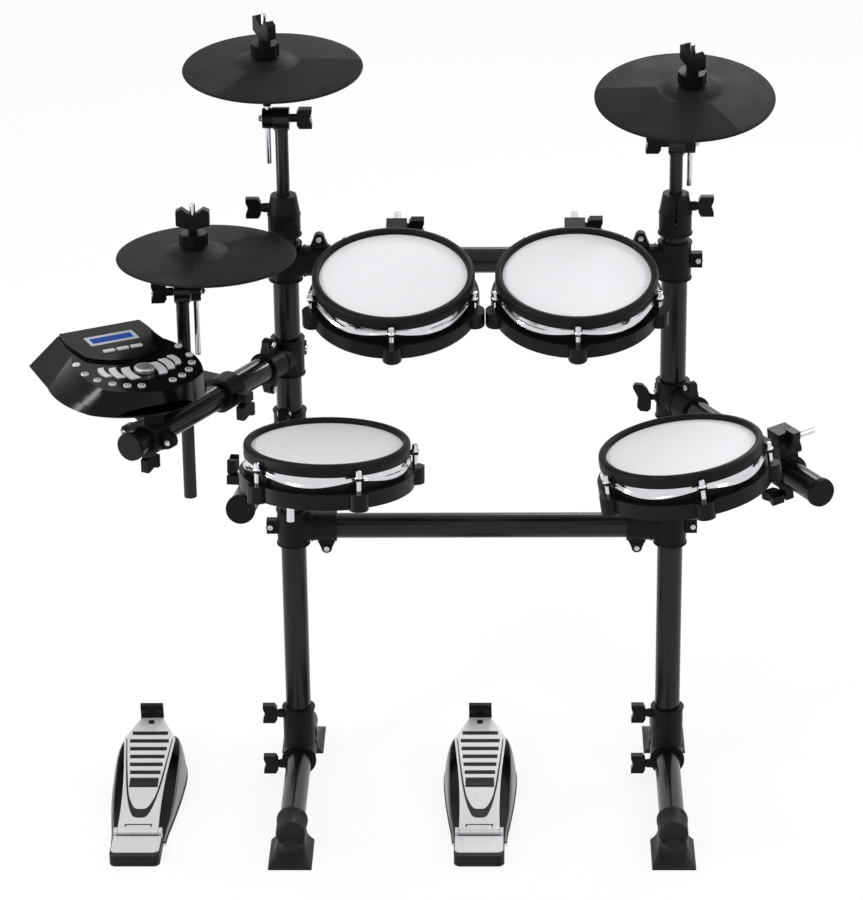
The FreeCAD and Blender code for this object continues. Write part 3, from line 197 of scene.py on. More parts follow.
@dataclass(frozen=True)
class Moulded(Finish):
    """Moulded plastic or rubber: fine grain from the mould, and a slightly uneven gloss."""

    grain_mm: float = 0.9
    grain_depth_mm: float = 0.05
    grain_detail: float = 4.0
    grain_rough: float = 0.6
    relief: float = 0.5

    def surface(self, tree: bpy.types.NodeTree, place: bpy.types.NodeSocket) -> dict[str, Any]:
        """Add the mould's grain to the patches.

        Args:
            tree: The material's node tree.
            place: Texture coordinates in metres.

        Returns:
            Inputs of the shader, each with a value or a node's output.
        """
        grain = add_node(tree, "ShaderNodeTexNoise", {
            "Vector": place, "Scale": per_metre(self.grain_mm), "Detail": self.grain_detail,
            "Roughness": self.grain_rough})
        bump = add_node(tree, "ShaderNodeBump", {
            "Height": grain.outputs["Fac"], "Strength": self.relief, "Distance": self.grain_depth_mm * MM})
        return {**super().surface(tree, place), "Normal": bump.outputs["Normal"]}


@dataclass(frozen=True)
class Enamel(Moulded):
    """Baked enamel on steel: a smooth coat whose grain is a faint orange-peel ripple."""

    tone: str = "#141416"
    patch_mm: float = 60.0
    spread: float = 0.03
    grain_mm: float = 3.0
    grain_depth_mm: float = 0.02
    grain_detail: float = 2.0
    grain_rough: float = 0.5
    relief: float = 0.4


@dataclass(frozen=True)
class Brushed(Finish):
    """Metal brushed along one local axis: long fine scratches of two tones."""

    tone: str = "#9c9da1"
    line_mm: float = 0.9      # real lines are finer; drawn this coarse so that they show
    run_mm: float = 70.0
    depth_mm: float = 0.015
    smoother: float = 0.08    # how far the roughness falls and rises from line to line
    rougher: float = 0.1

    def surface(self, tree: bpy.types.NodeTree, place: bpy.types.NodeSocket) -> dict[str, Any]:
        """Stretch a noise along the brushing.

        Args:
            tree: The material's node tree.
            place: Texture coordinates in metres.

        Returns:
            Inputs of the shader, each with a value or a node's output.
        """
        scale = tuple(per_metre(size) for size in (self.line_mm, self.run_mm, self.run_mm))
        stretch = add_node(tree, "ShaderNodeMapping", {"Vector": place, "Scale": scale})
        lines = add_node(tree, "ShaderNodeTexNoise", {
            "Vector": stretch.outputs["Vector"], "Scale": 1.0, "Detail": 4.0}).outputs["Fac"]
        blend = add_node(tree, "ShaderNodeMix", {
            "Factor": lines, "A": linear(self.colour), "B": linear(self.tone)}, data_type="RGBA")
        gloss = add_node(tree, "ShaderNodeMapRange", {
            "Value": lines, "To Min": self.roughness - self.smoother,
            "To Max": self.roughness + self.rougher})
        bump = add_node(tree, "ShaderNodeBump", {
            "Height": lines, "Strength": 0.3, "Distance": self.depth_mm * MM})
        return {"Base Color": blend.outputs["Result"], "Roughness": gloss.outputs["Result"],
                "Normal": bump.outputs["Normal"]}


@dataclass(frozen=True)
class Woven(Finish):
    """Woven polyester mesh: threads over and under, with darker gaps between them."""

    tone: str = "#e6e4e8"
    thread_mm: float = 1.3    # real threads are about half a millimetre; drawn this coarse so that they show
    depth_mm: float = 0.12
    sheen: float = 0.15

    def surface(self, tree: bpy.types.NodeTree, place: bpy.types.NodeSocket) -> dict[str, Any]:
        """Cross two rows of threads.

        Args:
            tree: The material's node tree.
            place: Texture coordinates in metres.

        Returns:
            Inputs of the shader, each with a value or a node's output.
        """
        # a wave texture repeats every 2 pi / 20 of its coordinate at scale one
        rows = [add_node(tree, "ShaderNodeTexWave", {
            "Vector": place, "Scale": per_metre(self.thread_mm) * math.pi / 10},
            bands_direction=direction).outputs["Fac"] for direction in ("X", "Y")]
        weave = add_node(tree, "ShaderNodeMath", dict(enumerate(rows)), operation="MULTIPLY").outputs["Value"]
        blend = add_node(tree, "ShaderNodeMix", {
            "Factor": weave, "A": linear(self.tone), "B": linear(self.colour)}, data_type="RGBA")
        bump = add_node(tree, "ShaderNodeBump", {
            "Height": weave, "Strength": 0.5, "Distance": self.depth_mm * MM})
        return {"Base Color": blend.outputs["Result"], "Normal": bump.outputs["Normal"],
                "Sheen Weight": self.sheen}


@dataclass(frozen=True)
class Backlit(Finish):
    """Liquid-crystal display: blue backlight behind a grid of cells, under a gloss pane."""

    glow: str = "#1f4fd0"
    cell_mm: float = 1.2
    strength: float = 0.3

    def surface(self, tree: bpy.types.NodeTree, place: bpy.types.NodeSocket) -> dict[str, Any]:
        """Darken the lines between the cells and light the rest.

        Args:
            tree: The material's node tree.
            place: Texture coordinates in metres.

        Returns:
            Inputs of the shader, each with a value or a node's output.
        """
        cells = add_node(tree, "ShaderNodeTexVoronoi", {"Vector": place, "Scale": per_metre(self.cell_mm)})
        blend = add_node(tree, "ShaderNodeMix", {
            "Factor": cells.outputs["Distance"], "A": linear(self.glow), "B": linear(self.colour)},
            data_type="RGBA").outputs["Result"]
        return {"Base Color": blend, "Emission Color": blend, "Emission Strength": self.strength}


class Look(Enum):
    # steel tube, baked semi-gloss black enamel: long soft streaks of light
    TUBE = Enamel("steel_tube_black_enamel", "#080809", 0.22, specular=0.27, ior=1.5)
    # glass-filled nylon, moulded: matte black with a fine grain
    NYLON = Moulded("nylon_moulded_black", "#0a0a0b", 0.42, specular=0.1, ior=1.53, tone="#111112")
    # ABS, moulded with a polished mould: satin black wings and knobs
    WING = Moulded("abs_moulded_satin_black", "#080809", 0.3, specular=0.12, ior=1.54, tone="#0e0e0f",
                   grain_depth_mm=0.02)
    # natural rubber, moulded: dull dark grey
    RUBBER = Moulded("rubber_moulded_black", "#171617", 0.42, specular=0.13, ior=1.52, tone="#1f1f20")
    # rubber over the pad's rim: smooth, with a soft sheen
    RIM = Moulded("rubber_rim_black", "#0d0d0e", 0.45, specular=0.1, ior=1.52, tone="#131314", grain_mm=0.6)
    # rubber-covered cymbal: dark grey, fine leathery grain
    CYMBAL = Moulded("rubber_cymbal_grey", "#191819", 0.5, specular=0.06, ior=1.52, tone="#1f1e1f",
                     grain_mm=1.4, grain_depth_mm=0.06)
    # softer rubber of the strike zone: duller, with a coarser grain
    STRIKE = Moulded("rubber_strike_zone", "#1b1a1b", 0.7, specular=0.06, ior=1.52, tone="#201f20",
                     grain_mm=2.0, grain_depth_mm=0.12)
    # ABS shell: satin black
    SHELL = Moulded("abs_shell_black", "#0b0b0c", 0.36, specular=0.12, ior=1.54, tone="#111112")
    # chromium plate on steel: mirror with a faint haze
    CHROME = Plated("steel_chrome_plated", "#dcdde0", 0.11, metallic=1.0, tone="#c8cace")
    # zinc plate on small fasteners: bright, slightly dull
    ZINC = Plated("steel_zinc_plated", "#c4c5c8", 0.22, metallic=1.0)
    # polyester mesh, woven two-ply: white with a faint grey between threads
    MESH = Woven("polyester_mesh_white", "#f4f2f5", 0.75, specular=0.15)
    # ABS in a polished mould: gloss black
    GLOSS = Moulded("abs_gloss_black", "#060607", 0.16, specular=0.08, ior=1.54, tone="#0b0b0c", grain_mm=4.0,
                    grain_depth_mm=0.01, spread=0.02)
    # painted ABS keys: silver lacquer
    SILVER = Moulded("abs_silver_lacquer", "#d4d4d8", 0.36, specular=0.5, metallic=0.25, tone="#c6c6cb",
                     grain_depth_mm=0.02)
    # plated ABS: the dial's bright top
    DIAL = Plated("abs_silver_plated_dial", "#c9cacd", 0.26, metallic=0.9)
    # painted ABS frame round the display: pale satin grey
    BEZEL = Moulded("abs_bezel_grey", "#bcc0c6", 0.35, specular=0.4, tone="#aeb2b8", grain_depth_mm=0.01)
    # liquid crystal, backlit: an even deep blue
    DISPLAY = Backlit("display_blue", "#0a2f88", 0.12, specular=0.01, glow="#1c56c4", strength=0.1)
    # dark cells of the display, a little blue from the light behind
    DIGIT = Backlit("display_digits", "#06143f", 0.2, glow="#081a52", strength=0.05)
    # aluminium sheet, brushed along its length: pale satin
    BOARD = Brushed("aluminium_brushed", "#d2d2d4", 0.5, metallic=0.4, tone="#b4b4b7")
    # ABS housing: mid grey, satin
    HOUSING = Moulded("abs_housing_grey", "#4e4e51", 0.3, specular=0.5, ior=1.54, tone="#5c5c5f")
    # blackened steel: dark screws with a soft shine
    STEEL = Plated("steel_blackened", "#3a3a3c", 0.3, metallic=1.0, tone="#2a2a2c")
    # epoxy-glass circuit board: dark green, satin
    CIRCUIT = Moulded("circuit_board_green", "#123a2a", 0.4, tone="#0e3022")

    @property
    def material(self) -> bpy.types.Material:
        """The Blender material of this finish."""
        return self.value.material()


@dataclass(frozen=True)
class Seat:
    at: Point = (0.0, 0.0, 0.0)
    x_axis: Point = (1.0, 0.0, 0.0)
    z_axis: Point = (0.0, 0.0, 1.0)

    def matrix(self) -> Matrix:
        """Work out the place's axes.

        Returns:
            The place as a matrix in millimetres.
        """
        up = Vector(self.z_axis).normalized()
        side = Vector(self.x_axis)
        side = (side - up * side.dot(up)).normalized()
        axes = Matrix((side, up.cross(side), up)).transposed().to_4x4()
        return Matrix.Translation(self.at) @ axes


def shift(x: float = 0.0, y: float = 0.0, z: float = 0.0) -> Matrix:
    """Move by millimetres."""
    return Matrix.Translation((x, y, z))


def turn(degrees: float, axis: str) -> Matrix:
    """Turn about an axis."""
    return Matrix.Rotation(math.radians(degrees), 4, axis)


def facing(origin: Sequence[float], direction: Sequence[float], up: Sequence[float] = (0, 0, 1)) -> Matrix:
    """Place with its Z along a direction.

    Args:
        origin: Its origin, in millimetres.
        direction: Where its Z points.
        up: A direction near its Y.

    Returns:
        The place as a matrix in millimetres.
    """
    z_axis = Vector(direction).normalized()
    x_axis = Vector(up).cross(z_axis)
    if x_axis.length < 1e-4:
        x_axis = Vector((1, 0, 0)).cross(z_axis)
        if x_axis.length < 1e-4:
            x_axis = Vector((0, 1, 0))
    x_axis.normalize()
    axes = Matrix((x_axis, z_axis.cross(x_axis), z_axis)).transposed().to_4x4()
    return Matrix.Translation(origin) @ axes


def placed(name: str, data: bpy.types.ID) -> bpy.types.Object:
    """Put an object in the scene.

    Args:
        name: Its name.
        data: Its mesh, lamp or camera.

    Returns:
        The object.
    """
    obj = bpy.data.objects.new(name, data)
    bpy.context.scene.collection.objects.link(obj)
    return obj


def smooth_line(points: Sequence[Flat], steps: int = 6) -> list[Flat]:
    """Smooth line through points.

    Args:
        points: The points in order.
        steps: How many pieces each run is cut into.

    Returns:
        The line's points, the given ones among them.
    """
    line = []
    ends = [points[0], *points, points[-1]]
    for a, b, c, d in zip(ends, ends[1:], ends[2:], ends[3:]):
        for k in range(steps):
            t = k / steps
            line.append(tuple(0.5 * (2 * q + (r - p) * t + (2 * p - 5 * q + 4 * r - s) * t ** 2
                                     + (3 * q - p - 3 * r + s) * t ** 3) for p, q, r, s in zip(a, b, c, d)))
    line.append(tuple(points[-1]))
    return line


def along(points: Sequence[Flat], at: float) -> float:
    """Read a line's second value by straight steps between its points.

    Args:
        points: The line, with rising first values.
        at: The first value.

    Returns:
        The second value there.
    """
    for (x0, y0), (x1, y1) in zip(points, points[1:]):
        if at <= x1:
            return y0 + (y1 - y0) * max(at - x0, 0.0) / max(x1 - x0, 1e-6)
    return points[-1][1]


def tongue(half: float, front: float, back: float, corner: float, inset: float = 0.0,
           steps: int = 8) -> list[Flat]:
    """Outline with rounded front corners and a straight back.

    Args:
        half: Half its width.
        front: Where it starts.
        back: Where it ends.
        corner: Radius of the front corners.
        inset: How far inside that line it runs.
        steps: How many pieces a corner is cut into.

    Returns:
        The corners in order.
    """
    right = [(half - inset, back)]
    for k in range(steps + 1):
        angle = math.pi / 2 * k / steps
        right.append((half - corner + (corner - inset) * math.cos(angle),
                      front + corner - (corner - inset) * math.sin(angle)))
    return right + [(-x, y) for x, y in reversed(right)]


def rectangle(half: float, low: float, high: float) -> list[Flat]:
    """Outline of a rectangle, centred across."""
    return [(-half, low), (half, low), (half, high), (-half, high)]


class Shape:
    """Mesh of one piece, built up in millimetres."""

    def __init__(self) -> None:
        """Start with no faces."""
        self.mesh = bmesh.new()

    def lathe(self, profile: Sequence[Flat], place: Matrix = Matrix(), steps: int = 48,
              closed: bool = False) -> None:
        """Turn a profile about the place's Z.

        Args:
            profile: Radius and height of each point; a radius of zero closes an end.
            place: Where it goes.
            steps: Sides round the axis.
            closed: Whether the last point joins the first.
        """
        rings = []
        for radius, height in profile:
            count = steps if radius > 1e-6 else 1
            angles = [2 * math.pi * k / count for k in range(count)]
            spots = [(radius * math.cos(a), radius * math.sin(a), height) for a in angles]
            rings.append([self.mesh.verts.new(place @ Vector(spot)) for spot in spots])
        pairs = list(zip(rings, rings[1:]))
        if closed:
            pairs.append((rings[-1], rings[0]))
        for low, high in pairs:
            for k in range(steps):
                corners = (low[k % len(low)], low[(k + 1) % len(low)],
                           high[(k + 1) % len(high)], high[k % len(high)])
                ring = list(dict.fromkeys(corners))
                if len(ring) > 2:
                    self.mesh.faces.new(ring)

    def prism(self, outline: Sequence[Flat], low: float, high: float, place: Matrix = Matrix()) -> None:
        """Raise a flat outline between two heights.

        Args:
            outline: Corners in order.
            low: Height of the bottom.
            high: Height of the top.
            place: Where it goes.
        """
        bottom = [self.mesh.verts.new(place @ Vector((x, y, low))) for x, y in outline]
        top = [self.mesh.verts.new(place @ Vector((x, y, high))) for x, y in outline]
        self.mesh.faces.new(bottom[::-1])
        self.mesh.faces.new(top)
        count = len(outline)
        for k in range(count):
            after = (k + 1) % count
            self.mesh.faces.new((bottom[k], bottom[after], top[after], top[k]))

    def block(self, size: Point, place: Matrix = Matrix()) -> None:
        """Add a box with its middle at the place."""
        x, y, z = (s / 2 for s in size)
        self.prism(rectangle(x, -y, y), -z, z, place)

    def bolt(self, place: Matrix, radius: float, height: float) -> None:
        """Add a round bolt head with a socket in it, standing on the place's Z."""
        self.lathe([(0, height * 0.35), (radius * 0.5, height * 0.35), (radius * 0.5, height),
                    (radius * 0.88, height), (radius, height * 0.8), (radius, 0), (0, 0)], place, 18)

    def nut(self, place: Matrix, radius: float, height: float) -> None:
        """Add a six-sided nut with a rounded bolt end in it."""
        self.lathe([(0, height * 1.35), (radius * 0.4, height * 1.3), (radius * 0.5, height),
                    (radius * 0.95, height), (radius, height * 0.85), (radius, 0), (0, 0)], place, 6)

    def ring(self, place: Matrix, inside: float, outside: float, height: float, steps: int = 56) -> None:
        """Add a ring with rounded outer corners, standing on the place's Z.

        Args:
            place: Where it goes.
            inside: Its inner radius.
            outside: Its outer radius.
            height: Its height.
            steps: Sides round the axis.
        """
        corner = min(height * 0.2, 0.7)
        self.lathe([(inside, 0), (outside - corner, 0), (outside, corner), (outside, height - corner),
                    (outside - corner, height), (inside, height)], place, steps, closed=True)

    def grid(self, rows: Sequence[Sequence[Vector]], loop: bool = False) -> list[list[bmesh.types.BMVert]]:
        """Skin rows of points.

        Args:
            rows: Rows with equally many points.
            loop: Whether each row's last point joins its first.

        Returns:
            The rows as vertices.
        """
        made = [[self.mesh.verts.new(p) for p in row] for row in rows]
        for low, high in zip(made, made[1:]):
            count = len(low)
            for k in range(count if loop else count - 1):
                after = (k + 1) % count
                self.mesh.faces.new((low[k], low[after], high[after], high[k]))
        return made


@dataclass(frozen=True)
class Solid:
    """One solid of a CAD node, measured in the place of its sub-assembly."""

    low: Vector
    high: Vector

    @property
    def span(self) -> Vector:
        """Its size along each axis."""
        return self.high - self.low

    @property
    def middle(self) -> Vector:
        """The middle of its box."""
        return (self.high + self.low) / 2


Rule = tuple[Callable[[Solid], bool], Look]


class Workshop:
    """Dresses CAD nodes and adds pieces to the CAD bodies."""

    double_gap = 1e-4       # points of a piece nearer than this, in millimetres, are one point
    weld_gap = 1e-6         # the same for a CAD node, in metres
    flat_angle = 0.5        # faces within this many degrees count as one flat face
    bevel_steps = 2

    def __init__(self, frame: dict[str, Any]) -> None:
        """Keep the loaded frame."""
        self.nodes: dict[str, bpy.types.Object] = frame["nodes"]

    def piece(self, name: str, shape: Shape, look: Look, body: str, place: Matrix = Matrix(), slot: str = "",
              edge: float = 0.0, sharp: float = 35.0) -> bpy.types.Object:
        """Make an object that rides on a body.

        Args:
            name: The piece's name.
            shape: Its mesh, in millimetres, in the place's own axes.
            look: Its finish.
            body: The CAD body that carries it.
            place: Its place in millimetres.
            slot: The record's material slot; not used.
            edge: Width of a rounded edge, in millimetres.
            sharp: Edges steeper than this many degrees stay sharp.

        Returns:
            The object.
        """
        bm = shape.mesh
        bmesh.ops.remove_doubles(bm, verts=bm.verts, dist=self.double_gap)
        bmesh.ops.recalc_face_normals(bm, faces=bm.faces)
        for face in bm.faces:
            face.smooth = True
        for line in bm.edges:
            line.smooth = len(line.link_faces) == 2 and line.calc_face_angle(0.0) < math.radians(sharp)
        bmesh.ops.transform(bm, matrix=Matrix.Scale(MM, 4) @ place, verts=bm.verts)
        mesh = bpy.data.meshes.new(name)
        bm.to_mesh(mesh)
        bm.free()
        mesh.materials.append(look.material)
        obj = placed(name, mesh)
        if edge:
            self.round_edges(obj, edge)
        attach(obj, body)
        LOG.info("piece %s on %s", name, body)
        return obj

    def stand_in(self, node: str, obj: bpy.types.Object) -> None:
        """Hide a CAD node that a piece stands in for."""
        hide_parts(node)

    def round_edges(self, obj: bpy.types.Object, edge: float, angle: float = 38.0) -> None:
        """Round an object's hard edges.

        Args:
            obj: The object.
            edge: The width, in millimetres.
            angle: Edges steeper than this many degrees are rounded.
        """
        bevel = obj.modifiers.new("rounded", "BEVEL")
        bevel.width = edge * MM
        bevel.segments = self.bevel_steps
        bevel.limit_method = "ANGLE"
        bevel.angle_limit = math.radians(angle)
        weight = obj.modifiers.new("normals", "WEIGHTED_NORMAL")
        weight.keep_sharp = True

    def dress(self, name: str, look: Look, rules: Sequence[Rule] = (), place: Matrix = Matrix(),
              edge: float = 0.6) -> None:
        """Give a CAD node its finishes and soften its edges.

        Args:
            name: The node.
            look: The finish of its solids.
            rules: Tests of a solid, each with the finish that it gets instead.
            place: The axes in which solids are measured, in millimetres.
            edge: Width of the rounded edges, in millimetres.
        """
        obj = self.nodes[name]
        mesh = obj.data
        mesh.materials.clear()
        mesh.materials.append(look.material)
        for poly in mesh.polygons:
            poly.use_smooth = True
            poly.material_index = 0
        if rules:
            looks = list(dict.fromkeys(r[1] for r in rules))
            for other in looks:
                mesh.materials.append(other.material)
            for solid, faces in self.solids(mesh, place):
                for test, other in rules:
                    if test(solid):
                        for index in faces:
                            mesh.polygons[index].material_index = looks.index(other) + 1
                        break
        weld = obj.modifiers.new("joined", "WELD")
        weld.merge_threshold = self.weld_gap
        flat = obj.modifiers.new("flat_faces", "DECIMATE")
        flat.decimate_type = "DISSOLVE"
        flat.angle_limit = math.radians(self.flat_angle)
        flat.delimit = {"MATERIAL"}
        if edge:
            self.round_edges(obj, edge)
        LOG.info("node %s dressed in %s", name, look.name)

    def solids(self, mesh: bpy.types.Mesh, place: Matrix) -> list[tuple[Solid, list[int]]]:
        """Sort a node's faces by the solid that they belong to.

        Args:
            mesh: The node's mesh.
            place: The axes in which solids are measured, in millimetres.

        Returns:
            Each solid with its faces.
        """
        spots: dict[tuple[int, int, int], int] = {}
        owner = []
        for vert in mesh.vertices:
            key = tuple(round(c * 1e6) for c in vert.co)
            owner.append(spots.setdefault(key, len(spots)))
        group = list(range(len(spots)))

        def root(item: int) -> int:
            """Find the group that an item belongs to.

            Args:
                item: A point.

            Returns:
                The group's first point.
            """
            while group[item] != item:
                group[item] = group[group[item]]
                item = group[item]
            return item

        for poly in mesh.polygons:
            first = root(owner[poly.vertices[0]])
            for vert in poly.vertices[1:]:
                group[root(owner[vert])] = first
        back = place.inverted()
        faces: dict[int, list[int]] = {}
        lows: dict[int, list[float]] = {}
        highs: dict[int, list[float]] = {}
        for poly in mesh.polygons:
            key = root(owner[poly.vertices[0]])
            faces.setdefault(key, []).append(poly.index)
            low = lows.setdefault(key, [1e9] * 3)
            high = highs.setdefault(key, [-1e9] * 3)
            for vert in poly.vertices:
                spot = back @ (mesh.vertices[vert].co / MM)
                for axis in range(3):
                    low[axis] = min(low[axis], spot[axis])
                    high[axis] = max(high[axis], spot[axis])
        return [(Solid(Vector(lows[k]), Vector(highs[k])), faces[k]) for k in faces]


@dataclass
class ClampTrim:
    """Lips and bolts of the tee clamps, which the arms and the crossbars share."""

    collar_r: float = 24.0
    collar_half: float = 29.0
    sleeve_r: float = 22.5
    sleeve_len: float = 66.0
    sleeve_gap: float = 3.0
    lip: float = 3.2
    lip_in: float = 0.5
    lip_out: float = 1.4
    ear_at: float = 50.0
    ear_drop: float = 35.0
    ear_half: float = 6.5
    back_at: float = 34.0
    bolt_r: float = 4.4
    bolt_h: float = 3.4
    washer_w: float = 2.2
    washer_h: float = 1.6
    washer_steps: int = 24

    def tee(self, lips: Shape, bolts: Shape, place: Matrix, ears: Sequence[int], rise: float = 0.0) -> None:
        """Add one clamp's lips and bolts.

        Args:
            lips: Takes the moulded lips.
            bolts: Takes the bolts and nuts.
            place: The clamp: Z along its post and X along its tube.
            ears: Above the tube, below it, or both.
            rise: Degrees by which the tube climbs.
        """
        lean = place @ turn(-rise, "Y")
        for low in (-self.collar_half, self.collar_half - self.lip):
            self.edge(lips, place @ shift(z=low), self.collar_r)
        lengthwise = lean @ turn(90, "Y")
        for low in (self.collar_r + self.sleeve_gap, self.sleeve_len - self.lip):
            self.edge(lips, lengthwise @ shift(z=low), self.sleeve_r)
        for side in ears:
            self.bolt(lips, bolts, lean @ shift(self.ear_at, 0, side * self.ear_drop))
        self.bolt(lips, bolts, place @ shift(-self.back_at))

    def edge(self, lips: Shape, place: Matrix, radius: float) -> None:
        """Add one lip round a moulding of the given radius."""
        lips.ring(place, radius - self.lip_in, radius + self.lip_out, self.lip)

    def bolt(self, lips: Shape, bolts: Shape, place: Matrix) -> None:
        """Add a bolt through an ear along its Y: a head on one side, a nut on the other.

        Args:
            lips: Takes the moulded seats of head and nut.
            bolts: Takes the bolt.
            place: The middle of the ear.
        """
        front = place @ shift(y=-self.ear_half) @ turn(90, "X")
        back = place @ shift(y=self.ear_half) @ turn(-90, "X")
        for spot in (front, back):
            lips.ring(spot, self.bolt_r, self.bolt_r + self.washer_w, self.washer_h, self.washer_steps)
        bolts.bolt(front, self.bolt_r, self.bolt_h)
        bolts.nut(back, self.bolt_r, self.bolt_h)


@dataclass
class Rack:
    """Posts, bars, feet and clamps."""

    shop: Workshop
    trim: ClampTrim
    post_x: float = 283.65
    bars: tuple[float, float] = (423.0, 848.0)
    bar_z: float = 36.0
    joint_top: float = 82.0
    joint_half: float = 25.5
    joint_r: float = 25.0
    upright_r: float = 24.0
    joint_lip: float = 3.5
    joint_lip_out: float = 1.6
    top_z: float = 888.0
    top_r: float = 23.8
    top_lip: float = 3.4
    top_lips: tuple[Flat, ...] = ((0.0, 1.6), (31.0, 0.7))    # height, and how far it stands out
    lip_in: float = 0.5
    feet: tuple[float, float] = (-299.0, 152.0)
    foot_len: float = 89.0
    foot_inset: float = 0.5
    # height, width, how far the toe lies back, and the toe's corner
    foot_levels: tuple[tuple[float, float, float, float], ...] = (
        (0, 65, 0, 2), (1.5, 65, 0.2, 2.5), (3.5, 61, 6, 4), (7, 53, 17, 7),
        (12, 46, 27, 10), (18, 42, 33.5, 13), (26, 41, 37, 15), (36, 41, 38.5, 17))
    # radius of the socket, and distance from the toe
    socket: tuple[Flat, ...] = (
        (0, 37.4), (17, 37.8), (20.3, 38.8), (21.8, 40.8), (22.5, 44), (22.5, 82), (23.4, 83), (23.4, 88.2),
        (22.5, 89), (19.3, 89), (19.3, 85))

    def build(self) -> None:
        """Dress the rack's nodes, and add the feet, lips and bolts."""
        self.shop.dress("rack_tubes", Look.TUBE, edge=0.4)
        for name in ("leg_joints", "crossbar_clamps", "post_top_clamps"):
            self.shop.dress(name, Look.NYLON, edge=1.0)
        self.shop.dress("rack_wing_bolts", Look.WING, edge=1.2)
        lips, bolts, feet = Shape(), Shape(), Shape()
        for side in (-1, 1):
            x = side * self.post_x
            for bar, ear in zip(self.bars, (-1, 1)):
                self.trim.tee(lips, bolts, shift(x, 0, bar) @ turn(180 if side > 0 else 0, "Z"), (ear,))
            self.joint_lips(lips, x)
            for y, heading in zip(self.feet, (0, 180)):
                self.foot(feet, shift(x, y) @ turn(heading, "Z"))
        self.shop.piece("rack_clamp_lips", lips, Look.NYLON, "rack", slot="clamp_plastic")
        self.shop.piece("rack_clamp_bolts", bolts, Look.ZINC, "rack", slot="chrome")
        made = self.shop.piece("moulded_feet", feet, Look.RUBBER, "rack", slot="rubber_black", sharp=50)
        self.shop.stand_in("rubber_feet", made)

    def joint_lips(self, lips: Shape, x: float) -> None:
        """Add the lips of a leg joint and of the clamp on top of its post.

        Args:
            lips: Takes the lips.
            x: The post.
        """
        rings = [(shift(x, 0, self.bar_z + self.joint_top - self.joint_lip), self.upright_r)]
        rings += [(facing((x, y, self.bar_z), (0, 1, 0)), self.joint_r)
                  for y in (-self.joint_half, self.joint_half - self.joint_lip)]
        for place, radius in rings:
            lips.ring(place, radius - self.lip_in, radius + self.joint_lip_out, self.joint_lip)
        for z, over in self.top_lips:
            lips.ring(shift(x, 0, self.top_z + z), self.top_r - self.lip_in, self.top_r + over, self.top_lip)

    def foot(self, shape: Shape, place: Matrix) -> None:
        """Add a rubber foot: a flared base that rises into a round socket with a flat end.

        Args:
            shape: Takes the foot.
            place: Its toe, with the bar's socket behind along Y.
        """
        rows = [[place @ Vector((x, y, z))
                 for x, y in tongue(wide / 2, front, self.foot_len - self.foot_inset, corner, steps=6)]
                for z, wide, front, corner in self.foot_levels]
        made = shape.grid(rows, loop=True)
        shape.mesh.faces.new(made[0])
        shape.lathe(self.socket, place @ facing((0, 0, self.bar_z), (0, 1, 0)), 56)


@dataclass
class Arm:
    """One arm on a post."""

    shop: Workshop
    trim: ClampTrim
    name: str
    at: Point
    bearing: float
    rise: float = 0.0
    winged: bool = False
    length: float = 398.0
    tube_from: float = 300.0
    cap_r: float = 20.0
    cap_lip: float = 4.2
    cap_lip_at: float = 7.0
    cap_lip_in: float = 0.5
    cap_lip_out: float = 0.8
    wing_rise: float = 1.0
    wing_skew: float = 0.12
    wing_half: float = 5.0
    wing_shaft: tuple[Flat, ...] = (
        (0, 20), (7.5, 20), (7.5, 25.5), (4.6, 26), (4.6, 31.5), (6.2, 32.5), (6.6, 35), (0, 37))
    wing_outline: tuple[Flat, ...] = (
        (32, -6), (34, -18), (39, -22), (50, -21), (54, -15), (52, -5), (51, 0), (53, 6), (57, 16), (53, 22),
        (42, 21), (36, 14), (33, 6))

    def build(self) -> None:
        """Dress the arm: tube enamelled, clamp and cap moulded; add the clamp's lips and bolts."""
        tube = [(lambda s: s.span.length > self.tube_from, Look.TUBE)]
        self.shop.dress(self.name, Look.NYLON, tube, edge=0.9)
        lips, bolts = Shape(), Shape()
        place = shift(*self.at) @ turn(self.bearing, "Z")
        self.trim.tee(lips, bolts, place, (-1, 1), self.rise)
        end = place @ turn(-self.rise, "Y") @ turn(90, "Y") @ shift(z=self.length - self.cap_lip_at)
        lips.ring(end, self.cap_r - self.cap_lip_in, self.cap_r + self.cap_lip_out, self.cap_lip)
        self.shop.piece(f"{self.name}_lips", lips, Look.NYLON, self.name, slot="clamp_plastic")
        self.shop.piece(f"{self.name}_bolts", bolts, Look.ZINC, self.name, slot="chrome")
        if self.winged:
            self.wing()

    def wing(self) -> None:
        """Wing bolt that locks the clamp on its post, on the drummer's left."""
        spot = facing(Vector(self.at) + Vector((0, 0, self.wing_rise)), (-1, 0, 0))
        shape = Shape()
        shape.lathe(self.wing_shaft, spot, 28)
        outline = [(x + self.wing_skew * y, y) for x, y in self.wing_outline]
        shape.prism(outline, -self.wing_half, self.wing_half, spot @ turn(-90, "Y"))
        self.shop.piece(f"{self.name}_wing", shape, Look.WING, self.name, slot="clamp_plastic", edge=1.5)


